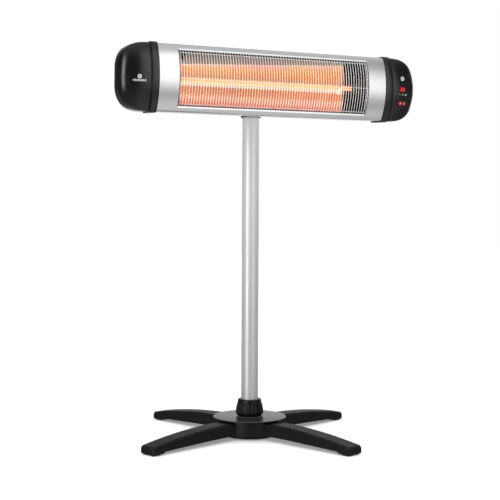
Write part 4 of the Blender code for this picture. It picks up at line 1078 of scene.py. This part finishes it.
def cap_shape(side):
    """Closed solid of a cap: inner dome, shoulder for the shell, proud rim band, groove and outer dome."""
    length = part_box("right_cap")[1].x - CAP_DOME_START
    shoulder = HOUSING_HALF + GAP
    stations = dome_rings(length - CAP_WALL, -CAP_WALL, 22)[::-1]
    stations += [(shoulder, -CAP_WALL, 1.0), (shoulder, GAP, 1.0), (CAP_START, GAP, 1.0)]
    profile = [(CAP_START, GAP), (CAP_START, CAP_RIM_PROUD), (CAP_RIM_END, CAP_RIM_PROUD),
               (CAP_RIM_END + 0.0012, -CAP_GROOVE_DEPTH), (CAP_GROOVE_END - 0.0002, -CAP_GROOVE_DEPTH),
               (CAP_DOME_START, CAP_DOME_PROUD), (CAP_DOME_START + 0.004, CAP_DOME_PROUD)]
    rounded = fillet([(x, o + 1.0) for x, o in profile], 0.0009, 4, closed=False)
    stations += [(x, o - 1.0, 1.0) for x, o in rounded[1:-1]]
    stations += [ring for ring in dome_rings(length, CAP_DOME_PROUD, 34) if ring[0] > CAP_DOME_START + 0.003]
    rings = [[(side * x, y, z) for x, y, z in head_ring(*station)] for station in stations]
    return merged(loft(rings), 2e-6)


def cap_front(x, z):
    """y of the cap's front surface at a place on a dome."""
    scale = cap_scale((abs(x) - CAP_DOME_START) / (CAP_END - CAP_DOME_START))
    y = front_y(z / scale, -CAP_DOME_PROUD)
    return CAP_CENTRE_Y + (y - CAP_CENTRE_Y) * scale


def control_frame(x, z):
    """Frame on the cap's front: +Z out of the surface, +X to the right along it."""
    step = 0.001
    along = Vector((2 * step, cap_front(x + step, z) - cap_front(x - step, z), 0)).normalized()
    rise = Vector((0, cap_front(x, z + step) - cap_front(x, z - step), 2 * step)).normalized()
    normal = along.cross(rise).normalized()
    place = Matrix((along, normal.cross(along), normal)).transposed().to_4x4()
    place.translation = Vector((x, cap_front(x, z), z))
    return place


def panel_cutter(slack):
    """Block through the cap's front with the panel's outline, wider by the slack."""
    x_low, x_high, z_low, z_high = PANEL_BOX
    outline = rounded_rectangle(x_high - x_low + 2 * slack, z_high - z_low + 2 * slack, 0.006 + slack, 10)
    shape = moved(prism(outline, -0.002, 0.045), Matrix.Rotation(math.pi / 2, 4, "X"))
    return shifted(shape, x=(x_low + x_high) / 2, z=(z_low + z_high) / 2)


def back_hole(x, z, radius):
    """Cutter for a round hole in the cap's back."""
    return shifted(rod(radius, 0.040, 0.070, 24, ALONG_Y), x=x, z=z)


def make_caps():
    """The two end caps and their screws. The right one is open for the panel and the gland."""
    for side, name in ((-1, "left"), (1, "right")):
        cap = make(f"{name}_end_cap", cap_shape(side), "black_plastic", HEAD, 30)
        hole = CAP_SCREW[2] + GAP
        holes = [back_hole(side * CAP_SCREW_X, z, hole) for z in (-CAP_SCREW_Z, CAP_SCREW_Z)]
        if side > 0:
            holes.append(back_hole(*GLAND_AT, 0.0078))
            cut(cap, panel_cutter(GAP), angle=30)
        cut(cap, gather(holes), angle=30)
        fit(cap, "head", f"{name}_cap")
    seat = BACK_DEPTH + CAP_RIM_PROUD + GAP
    places = [at(HEAD, x, seat, z) for x in (-CAP_SCREW_X, CAP_SCREW_X) for z in (-CAP_SCREW_Z, CAP_SCREW_Z)]
    for k, place in enumerate(places, 1):
        make_screw(f"cap_fixing_{k}", f"cap_screw_{k}", place @ ALONG_Y, "head", CAP_SCREW, "black_steel")


def make_gland():
    """Strain relief with a flange, a ribbed flexible tail and an open end."""
    wall = BACK_DEPTH - 0.003
    outer = [(0.0075, wall - 0.010), (0.0075, BACK_DEPTH + 0.0020), (0.0105, BACK_DEPTH + 0.0020),
             (0.0105, BACK_DEPTH + 0.0045), (0.0088, BACK_DEPTH + 0.0052)]
    tail = []
    for k in range(5):
        y = BACK_DEPTH + 0.0060 + 0.0024 * k
        r = 0.0084 - 0.0005 * k
        tail += [(r, y), (r, y + 0.0013), (r - 0.0011, y + 0.0015), (r - 0.0011, y + 0.0022)]
    profile = [(0.0038, wall - 0.010), *outer, *tail, (0.0038, BACK_DEPTH + 0.0180)]
    gland = lathe(profile, 48, 0.0003, 2)
    place = at(HEAD, GLAND_AT[0], 0, GLAND_AT[1]) @ ALONG_Y
    fit(make("cord_gland", gland, "black_plastic", place), "head", "cable_gland")


# Heating space -------------------------------------------------------------------------------------

def make_reflector():
    """Trough folded from bright sheet: five flats with small bend radii, the top one shorter on the left."""
    front, back = -0.003, 0.044
    folds = [(front, -REFLECTOR_LIP_Z), (0.0262, -0.0425), (back - 0.0006, -0.0090), (back - 0.0006, 0.0090),
             (0.0262, 0.0425), (front, REFLECTOR_LIP_Z)]
    bends = fillet([(y + 1.0, z) for y, z in folds], 0.0012, 3, closed=False)
    section = [(y - 1.0, z) for y, z in bends]
    top_start = next(i for i, (y, z) in enumerate(section) if z > 0.0430)
    bm = bmesh.new()
    grid = [[bm.verts.new((x, y, z)) for y, z in section]
            for x in (REFLECTOR_LEFT, REFLECTOR_LEFT + 0.013, REFLECTOR_RIGHT)]
    for here, there, count in ((*grid[:2], top_start), (*grid[1:], len(section) - 1)):
        for j in range(count):
            bm.faces.new((here[j], here[j + 1], there[j + 1], there[j]))
    bmesh.ops.delete(bm, geom=[v for v in bm.verts if not v.link_faces], context="VERTS")
    bmesh.ops.recalc_face_normals(bm, faces=bm.faces)
    reflector = make("folded_reflector", bm, "bright_reflector", HEAD, 60)
    solid = reflector.modifiers.new("Solidify", "SOLIDIFY")
    solid.thickness = 0.0006
    solid.offset = 0.0
    bevelled(reflector, 0.0002, 1, 60)
    fit(reflector, "head", "reflector")
    make_cheeks(folds)


def make_cheeks(folds):
    """End walls of the trough. The right one has a hole for the tube and its inner face carries the
    reflector's painted glow, and the left one is open at its lamp holder."""
    right = prism(folds, REFLECTOR_RIGHT - 0.0005, REFLECTOR_RIGHT + 0.0001)
    cheek = make("right_cheek", moved(right, EDGE_TO_X), ("bright_reflector", "steel"), HEAD, 30)
    hole = rod(REFLECTOR_HOLE, REFLECTOR_RIGHT - 0.01, REFLECTOR_RIGHT + 0.01, along=ALONG_X)
    cut(cheek, shifted(hole, y=TUBE_Y, z=TUBE_Z))
    # The inner face takes the reflector's material and with it its painted glow.
    for face in cheek.data.polygons:
        face.material_index = 0 if face.normal.x < -0.5 else 1
    fit(cheek, "head")
    left = prism(folds, REFLECTOR_LEFT - 0.0001, REFLECTOR_LEFT + 0.0005)
    cheek = make("left_cheek", moved(left, EDGE_TO_X), "steel", HEAD, 30)
    half = SOCKET_HALF + 0.001
    cut(cheek, block((REFLECTOR_LEFT - 0.01, REFLECTOR_LEFT + 0.01), (TUBE_Y - half, TUBE_Y + half),
                     (TUBE_Z - half - 0.0015, TUBE_Z + half)))
    fit(cheek, "head")


def make_tube():
    """Quartz tube with pinched, capped ends, and the coil inside it."""
    bore = TUBE_RADIUS - 0.0012
    profile = [(bore, TUBE_LEFT), (TUBE_RADIUS, TUBE_LEFT), (TUBE_RADIUS, TUBE_RIGHT), (bore, TUBE_RIGHT)]
    place = at(HEAD, 0, TUBE_Y, TUBE_Z) @ ALONG_X
    sleeve = make("quartz_sleeve", lathe(profile, 48, 0.0004, 3), "quartz", place)
    fit(sleeve, "head", "quartz_tube")
    start, end = TUBE_LEFT + 0.006, TUBE_RIGHT - 0.006
    per_turn = 12
    count = int((end - start) / COIL_PITCH * per_turn)
    coil = []
    for i in range(count + 1):
        angle = TAU * i / per_turn
        z = start + COIL_PITCH * i / per_turn
        coil.append((COIL_RADIUS * math.cos(angle), COIL_RADIUS * math.sin(angle), z))
    fit(make("heating_coil", sweep(coil, 0.00055, 5), "hot_wire", place, 80), "head", "filament")


def make_sockets():
    """Ceramic lamp holders with cooling slots, on bent brackets."""
    for side, name, tube_end in ((-1, "left", TUBE_LEFT), (1, "right", TUBE_RIGHT)):
        near = tube_end - side * 0.005
        ends = sorted((near, near + side * SOCKET_LENGTH))
        outline = rounded_rectangle(2 * SOCKET_HALF, 2 * SOCKET_HALF, 0.002, 5)
        socket = make(f"{name}_lamp_holder", moved(prism(outline, *ends), ALONG_X), "dark_ceramic",
                      at(HEAD, 0, TUBE_Y, TUBE_Z), 30)
        mouth = sorted((near - side * 0.002, near + side * 0.0056))
        cut(socket, rod(TUBE_RADIUS + GAP, *mouth, along=ALONG_X))
        ring = 2 * SOCKET_HALF
        slots = [block((near + side * d - 0.0008, near + side * d + 0.0008), (-ring, -SOCKET_HALF + 0.0015),
                       (-ring, ring)) for d in (0.009, 0.013, 0.017)]
        cut(socket, gather(slots))
        bevelled(socket, 0.0003)
        fit(socket, "head", f"{name}_socket")


def make_saddle():
    """Bright steel clip that carries the tube at the reflector's right end; its glow is painted light from
    the tube.
    """
    x_range = (REFLECTOR_RIGHT - 0.0045 - 0.003, REFLECTOR_RIGHT - 0.0045 + 0.003)
    inner, outer = TUBE_RADIUS + 0.0006, TUBE_RADIUS + 0.0016
    outline = sector(outer, inner, math.radians(-175), math.radians(-5), 24)
    clip = gather([moved(prism(outline, *x_range), EDGE_TO_X),
                   block(x_range, (-0.0022, 0.0022), (-0.0160, -outer + 0.0002))])
    saddle = make("tube_saddle", clip, "lit_ceramic", at(HEAD, 0, TUBE_Y, TUBE_Z))
    bevelled(saddle, 0.0003)
    fit(saddle, "head")


def wire_path(x):
    """An upright guard wire, curved like the front, its ends behind the window's lips."""
    steps = 24
    heights = [GUARD_WIRE_END * (2 * i / steps - 1) for i in range(steps + 1)]
    return [(x, front_y(z, GUARD_DEPTH), z) for z in heights]


def make_guard():
    """Upright wires welded to three rails behind them."""
    wires = []
    for k in range(GUARD_WIRES):
        x = (k - (GUARD_WIRES - 1) / 2) * GUARD_PITCH
        wires.append(sweep(wire_path(x), GUARD_WIRE / 2, 8))
    for z in (-GUARD_RAIL_Z, TUBE_Z, GUARD_RAIL_Z):
        y = front_y(z, GUARD_DEPTH) + GUARD_WIRE * 0.95
        half = GUARD_HALF_LENGTH
        path = [(-half + 2 * half * i / 20, y, z) for i in range(21)]
        wires.append(sweep(path, GUARD_WIRE / 2, 10))
    fit(make("wire_guard", gather(wires), "bright_wire", HEAD, 60), "head", "guard")


# Controls ------------------------------------------------------------------------------------------

def make_panel():
    """The glossy insert in the right cap, with openings for the controls."""
    panel = make("gloss_insert", cap_shape(1), "gloss_panel", HEAD, 30)
    cut(panel, panel_cutter(0.0), "INTERSECT", 30)
    openings = [moved(rod(POWER_RADIUS + GAP, -0.010, 0.010), control_frame(*POWER_AT))]
    for x in SMALL_BUTTON_X:
        openings.append(moved(rod(SMALL_RADIUS + GAP, -0.010, 0.010, 32), control_frame(x, SMALL_BUTTON_Z)))
    for centre, size in ((DISPLAY_AT, DISPLAY_SIZE), (SWITCH_AT, SWITCH_SIZE)):
        outline = rounded_rectangle(size[0] + 2 * GAP, size[1] + 2 * GAP, 0.001 + GAP, 4)
        openings.append(moved(prism(outline, -0.012, 0.010), control_frame(*centre)))
    cut(panel, gather(openings), angle=30)
    fit(panel, "head", "control_panel")


def bar(start, end, width):
    """A printed stroke with round ends, standing on the local plane z = 0."""
    a, b = Vector(start), Vector(end)
    angle = math.atan2(b.y - a.y, b.x - a.x)
    quarter = math.pi / 2
    outline = arc(a, width / 2, angle + quarter, angle + 3 * quarter, 8)
    outline += arc(b, width / 2, angle - quarter, angle + quarter, 8)
    return prism(outline, 0.0, PRINT_HEIGHT)


def ring_mark(radius, width):
    """A printed ring."""
    outer, inner = radius + width / 2, radius - width / 2
    return lathe([(inner, 0.0), (outer, 0.0), (outer, PRINT_HEIGHT), (inner, PRINT_HEIGHT)], 40)


def arc_mark(radius, width, start, end):
    """A printed part of a ring, with its angles in degrees."""
    outline = sector(radius + width / 2, radius - width / 2, math.radians(start), math.radians(end), 40)
    return prism(outline, 0.0, PRINT_HEIGHT)


def button_mark(kind):
    """The sign on a button: power in a ring, a triangle up or down, or a stopwatch's arc and pusher."""
    if kind == "power":
        return gather([ring_mark(0.0046, 0.0011), bar((0, 0.0003), (0, 0.0028), 0.0009),
                       arc_mark(0.0021, 0.0008, 124, 416)])
    if kind == "up":
        return prism([(-0.0012, -0.0006), (0.0012, -0.0006), (0.0, 0.0011)], 0.0, PRINT_HEIGHT)
    if kind == "down":
        return prism([(-0.0017, 0.0010), (0.0, -0.0014), (0.0017, 0.0010)], 0.0, PRINT_HEIGHT)
    return gather([arc_mark(0.0018, 0.0008, -170, 35), bar((0.0013, 0.0010), (0.0019, 0.0015), 0.0007)])


def make_button(kind, centre, radius, segments, ink):
    """A round key with a slightly domed face and its printed sign."""
    crown = [(radius * k / 5, BUTTON_PROUD - 0.0002 * (k / 5) ** 2) for k in range(5)]
    profile = [(0, -0.006), (radius, -0.006), (radius, BUTTON_PROUD - 0.0005),
               (radius - 0.0003, BUTTON_PROUD - 0.0002), *reversed(crown)]
    place = HEAD @ control_frame(*centre)
    node = f"{kind}_button"
    key = make(f"{kind}_key", lathe(profile, segments), "gloss_panel", place, 40)
    fit(key, node, node)
    sign = shifted(button_mark(kind), z=BUTTON_PROUD - 0.00005)
    fit(make(f"{kind}_mark", sign, ink, place), node)


def make_buttons():
    """The power button and the three small ones under the display."""
    make_button("power", POWER_AT, POWER_RADIUS, 64, "white_print")
    inks = (("up", "dim_print"), ("down", "white_print"), ("timer", "white_print"))
    for (kind, ink), x in zip(inks, SMALL_BUTTON_X):
        make_button(kind, (x, SMALL_BUTTON_Z), SMALL_RADIUS, 40, ink)


def segment(start, end, width=0.0011):
    """One bar of a seven-segment digit, with pointed ends."""
    a, b = Vector(start), Vector(end)
    along = (b - a).normalized()
    side = Vector((-along.y, along.x)) * width / 2
    inset = along * width / 2
    outline = [a, a + inset + side, b - inset + side, b, b - inset - side, a + inset - side]
    return prism([(p.x, p.y) for p in outline], 0.0, 0.0002)


def digit(bars, x):
    """A seven-segment digit from its lit bars: t(op), m(iddle), f(oot), and u(pper) or l(ower) l(eft) or
    r(ight)."""
    w, h = 0.0021, 0.0037
    ends = {"t": ((-w, h), (w, h)), "ul": ((-w, h), (-w, 0)), "ur": ((w, h), (w, 0)), "m": ((-w, 0), (w, 0)),
            "ll": ((-w, 0), (-w, -h)), "lr": ((w, 0), (w, -h)), "f": ((-w, -h), (w, -h))}
    shapes = []
    for key in bars.split():
        a, b = (Vector(p) for p in ends[key])
        trim = (b - a).normalized() * 0.0002
        shapes.append(segment(a + trim, b - trim))
    return shifted(gather(shapes), x=x)


def make_display():
    """Red filter with two lit digits behind its face."""
    place = HEAD @ control_frame(*DISPLAY_AT)
    glass = make("display_glass", prism(rounded_rectangle(*DISPLAY_SIZE, 0.001, 5), -0.005, -0.0004),
                 "red_display", place)
    bevelled(glass, 0.0003)
    fit(glass, "head", "display")
    digits = gather([digit("t ur m ll f", -0.0034), digit("t ul ur ll lr f", 0.0034)])
    fit(make("display_digits", shifted(digits, z=-0.00042), "lit_digit", place), "head")


def make_switch():
    """Mains switch: bevelled frame, rocker with a lit red cap, and its two marks."""
    place = HEAD @ control_frame(*SWITCH_AT)
    body = make("switch_bezel", prism(rounded_rectangle(*SWITCH_SIZE, 0.001, 4), -0.016, 0.0008),
                "black_plastic", place)
    cut(body, block((-0.0124, 0.0124), (-0.0056, 0.0056), (-0.0120, 0.002)))
    bevelled(body, 0.0003)
    fit(body, "head", "switch_frame")
    axle = at(place, z=-ROCKER_AXIS_DEPTH) @ Matrix.Rotation(ROCKER_ON, 4, "Y")
    face = [(ROCKER_HALF * side, ROCKER_FACE + ROCKER_RISE * abs(side) ** 1.6)
            for side in (1 - k / 8 for k in range(17))]
    outline = [(-ROCKER_HALF, 0.0), (-0.004, -0.005), (0.004, -0.005), (ROCKER_HALF, 0.0), *face]
    shape = moved(prism(outline, -0.0052, 0.0052), Matrix.Rotation(math.pi / 2, 4, "X"))
    rocker = make("rocker_cap", shape, "red_switch", axle, 20)
    bevelled(rocker, 0.0004, 2, 30)
    fit(rocker, "switch_rocker", "switch_rocker")
    make_rocker_marks(axle)


def make_rocker_marks(axle):
    """A bar on the rocker's side for on, and a ring on its side for off."""
    tilt = math.atan2(ROCKER_RISE, ROCKER_HALF) * 1.3
    share = 0.55
    marks = (("on_mark", bar((0, -0.0021), (0, 0.0021), 0.0008), 1),
             ("off_mark", ring_mark(0.0019, 0.0007), -1))
    for name, mark, side in marks:
        place = at(axle, side * ROCKER_HALF * share, 0, ROCKER_FACE + ROCKER_RISE * share ** 1.6)
        fit(make(name, mark, "white_print", place @ Matrix.Rotation(-side * tilt, 4, "Y")), "switch_rocker")


def make_emblem():
    """Generic warmth symbol on the left cap: a ring with three rising waves, over a row of level bars."""
    place = HEAD @ control_frame(*EMBLEM_AT)
    waves = []
    for x in (-0.0016, 0.0, 0.0016):
        path = [(x + 0.0004 * math.sin(TAU * t / 10), -0.0018 + 0.0036 * t / 10) for t in range(11)]
        waves += [bar(a, b, 0.0006) for a, b in zip(path, path[1:])]
    waves.append(ring_mark(0.0040, 0.0012))
    fit(make("warmth_emblem", shifted(gather(waves), z=0.00002), "white_print", place), "head")
    for k in range(EMBLEM_BARS):
        x = EMBLEM_AT[0] + EMBLEM_BAR_PITCH * (k - (EMBLEM_BARS - 1) / 2)
        half = 0.0013 + 0.0008 * (k % 2)
        level = shifted(bar((0, -half), (0, half), 0.0014), z=0.00002)
        place = HEAD @ control_frame(x, EMBLEM_AT[1] - 0.0085)
        fit(make(f"level_bar_{k + 1}", level, "white_print", place), "head")


# Tilt joint ----------------------------------------------------------------------------------------

def make_bracket():
    """U-shaped bracket of folded sheet steel with round ears."""
    plate_low = BACK_DEPTH - HEAD_REACH + GAP
    plate_high = plate_low + EAR_THICKNESS
    bracket = make("tilt_yoke", block((-EAR_OUTER, EAR_OUTER), (plate_low, plate_high), (-0.032, 0.032)),
                   "black_steel", PIVOT)
    outline = [(plate_low + 0.0005, -0.030), (plate_high + 0.010, -0.026), (0.0, -EAR_RADIUS)]
    outline += arc((0, 0), EAR_RADIUS, -math.pi / 2, math.pi / 2, 32)[1:]
    outline += [(plate_high + 0.010, 0.026), (plate_low + 0.0005, 0.030)]
    for side in (-1, 1):
        ear = prism(outline, *sorted((side * EAR_INNER, side * EAR_OUTER)))
        cut(bracket, moved(ear, EDGE_TO_X), "UNION")
    cut(bracket, rod(BOLT_RADIUS + GAP, -0.03, 0.03, along=ALONG_X))
    hole = BRACKET_SCREW[2] + 0.0008
    cut(bracket, gather([shifted(rod(hole, plate_low - 0.01, plate_high + 0.01, along=ALONG_Y), z=z)
                         for z in (-BRACKET_SCREW_Z, BRACKET_SCREW_Z)]))
    bevelled(bracket, 0.0005)
    fit(bracket, "head", "tilt_bracket")
    for name, z in (("upper", BRACKET_SCREW_Z), ("lower", -BRACKET_SCREW_Z)):
        place = at(PIVOT, 0, plate_high + GAP, z) @ ALONG_Y
        make_screw(f"{name}_yoke_fixing", f"{name}_bracket_screw", place, "head", BRACKET_SCREW)


def make_pivot():
    """Round-headed bolt with a hexagon socket."""
    head = -EAR_OUTER - GAP
    tip = EAR_OUTER + 0.018
    profile = [(0, head - 0.004), (0.0058, head - 0.004), (0.0078, head - 0.0018), (0.0078, head),
               (BOLT_RADIUS, head), (BOLT_RADIUS, tip), (0, tip)]
    bolt = make("pivot_pin", lathe(profile, 64, 0.0006, 4), "steel", PIVOT @ ALONG_X)
    cut(bolt, rod(0.0030, head - 0.006, head - 0.0018, 6))
    fit(bolt, "head", "pivot_bolt")


def make_knob():
    """Three-lobed clamping knob with a dished face."""
    low = EAR_OUTER + GAP
    angles = [TAU * i / 120 for i in range(120)]
    stations = [(0.0118, 0.0, 0.0), (0.0125, 0.0, 0.0006), (0.0125, 0.0, 0.0056), (0.0130, 0.0006, 0.0062),
                (0.0178, 0.0032, 0.0074), (0.0188, 0.0035, 0.0082), (0.0192, 0.0035, 0.0095),
                (0.0195, 0.0035, 0.0185), (0.0191, 0.0035, 0.0204), (0.0182, 0.0033, 0.0222),
                (0.0170, 0.0030, 0.0230), (0.0130, 0.0014, 0.0230), (0.0118, 0.0010, 0.0226),
                (0.0110, 0.0008, 0.0219), (0.0010, 0.0, 0.0216)]
    rings = []
    for radius, lobe, x in stations:
        radii = [radius + lobe * math.cos(3 * angle) for angle in angles]
        rings.append([(low + x, r * math.cos(a), r * math.sin(a)) for r, a in zip(radii, angles)])
    knob = make("clamp_knob", loft(rings), "black_plastic", PIVOT, 40)
    cut(knob, rod(BOLT_RADIUS + GAP, low - 0.002, low + 0.019, along=ALONG_X), angle=40)
    fit(knob, "tilt_knob", "tilt_knob")


# CAD nodes that stay in view -----------------------------------------------------------------------

def dress_frame():
    """Procedural finishes on the CAD nodes that are shown as they are."""
    finishes = {
        "rubber": ("foot_pad_1", "foot_pad_2", "foot_pad_3", "foot_pad_4", "left_pivot_washer",
                   "right_pivot_washer"),
        "black_plastic": ("clamp_sleeve", "wedge_ring", "mast_plug", "terminal_block", "tip_over_switch"),
        "black_steel": ("left_bulkhead", "right_bulkhead", "reflector_stay", "left_socket_bracket",
                        "right_socket_bracket"),
        "board_green": ("circuit_board",),
        "lead_silicone": ("left_lead", "right_lead"),
    }
    for finish, nodes in finishes.items():
        for node in nodes:
            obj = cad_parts[node]
            for slot in obj.material_slots:
                slot.material = MATERIALS[finish]


# Studio --------------------------------------------------------------------------------------------

def make_floor():
    """A plain floor that mirror-like surfaces don't see."""
    corners = [(-FLOOR_HALF, -FLOOR_HALF), (FLOOR_HALF, -FLOOR_HALF), (FLOOR_HALF, FLOOR_HALF),
               (-FLOOR_HALF, FLOOR_HALF)]
    bm = bmesh.new()
    bm.faces.new([bm.verts.new((x, y, 0.0)) for x, y in corners])
    floor = make("floor", bm, "floor")
    floor.visible_glossy = False


def make_world():
    """Plain white for the eye. Reflections see a white backdrop behind the heater and a dim room in front
    of it, with a wide softbox to the right, a tall narrow one to the left and a weak one behind."""
    world = bpy.data.worlds.new("studio")
    bpy.context.scene.world = world
    world.use_nodes = True
    world.node_tree.nodes.clear()
    tree = NodeTree(world.node_tree, "Generated")
    azimuth = tree.math("ARCTAN2", tree.axis("X"), tree.math("MULTIPLY", tree.axis("Y"), -1.0))
    azimuth = tree.math("MULTIPLY", azimuth, math.degrees(1.0))
    rise = tree.math("MULTIPLY", tree.math("ARCSINE", tree.axis("Z")), math.degrees(1.0))
    levels = [(angle, (level, level, level * 1.01)) for angle, level in ROOM_LEVELS]
    room = tree.ramp(rise, levels, -90.0, 90.0)
    above = tree.ranged(rise, *ROOM_ABOVE, shape="SMOOTHSTEP")
    below = tree.ranged(rise, *ROOM_BELOW, 1.0, 0.0, shape="SMOOTHSTEP")
    lit = tree.math("MAXIMUM", tree.math("MAXIMUM", tree.window(azimuth, ROOM_FRONT), above), below)
    light = tree.math("MULTIPLY", room, tree.math("MAXIMUM", lit, ROOM_DIMMED))
    facing = tree.add("VectorMath", "Value", {0: tree.place, 1: BACKDROP_TOWARDS}, operation="DOT_PRODUCT")
    backdrop = tree.ranged(facing, *BACKDROP_EDGE, 0.0, BACKDROP_STRENGTH, shape="SMOOTHSTEP")
    light = tree.math("ADD", light, backdrop)
    for edges, heights, strength in SOFTBOXES:
        box = tree.math("MULTIPLY", tree.window(azimuth, edges), tree.window(rise, heights))
        light = tree.math("ADD", light, tree.math("MULTIPLY", box, strength))
    studio = tree.add("Background", "Background", {"Color": WHITE, "Strength": light})
    plain = tree.add("Background", "Background", {"Color": WHITE})
    seen = tree.add("LightPath", "Is Camera Ray")
    output = tree.nodes.new("ShaderNodeOutputWorld")
    tree.feed(output.inputs["Surface"], tree.add("MixShader", "Shader", {"Fac": seen, 1: studio, 2: plain}))


def make_lights():
    """A broad overhead light for the floor and the matt surfaces."""
    data = bpy.data.lights.new("overhead", "SUN")
    data.energy = SUN_STRENGTH
    data.angle = math.radians(110)
    light = bpy.data.objects.new("overhead", data)
    bpy.context.scene.collection.objects.link(light)
    light.rotation_euler = (math.radians(12), math.radians(-6), 0)
    light.visible_glossy = False


def make_camera():
    """Long lens at the height of the mast's middle, to the left of the head's axis."""
    turn, pitch, roll = (math.radians(angle) for angle in CAMERA_ANGLES)
    right = Vector((math.cos(turn), -math.sin(turn), 0))
    ahead = Vector((math.sin(turn), math.cos(turn), 0))
    up = ahead * math.sin(pitch) + Vector((0, 0, math.cos(pitch)))
    forward = ahead * math.cos(pitch) - Vector((0, 0, math.sin(pitch)))
    x_axis = right * math.cos(roll) + up * math.sin(roll)
    y_axis = up * math.cos(roll) - right * math.sin(roll)
    data = bpy.data.cameras.new("camera")
    data.sensor_width = 36.0
    data.lens = CAMERA_LENS
    data.clip_start, data.clip_end = 0.05, 60.0
    camera = bpy.data.objects.new("camera", data)
    bpy.context.scene.collection.objects.link(camera)
    pose = Matrix((x_axis, y_axis, -forward)).transposed().to_4x4()
    pose.translation = right * CAMERA_ASIDE - ahead * CAMERA_DISTANCE + Vector((0, 0, CAMERA_HEIGHT))
    camera.matrix_world = pose
    bpy.context.scene.camera = camera


def main():
    """Every visible piece from the floor up, then the studio."""
    make_legs()
    make_hub()
    make_cover()
    make_nut()
    make_mast()
    make_fitting()
    make_housing()
    make_caps()
    make_gland()
    make_reflector()
    make_tube()
    make_sockets()
    make_saddle()
    make_guard()
    make_panel()
    make_buttons()
    make_display()
    make_switch()
    make_emblem()
    make_bracket()
    make_pivot()
    make_knob()
    dress_frame()
    make_floor()
    make_world()
    make_lights()
    make_camera()
    bpy.context.scene.view_settings.view_transform = "Standard"


main()
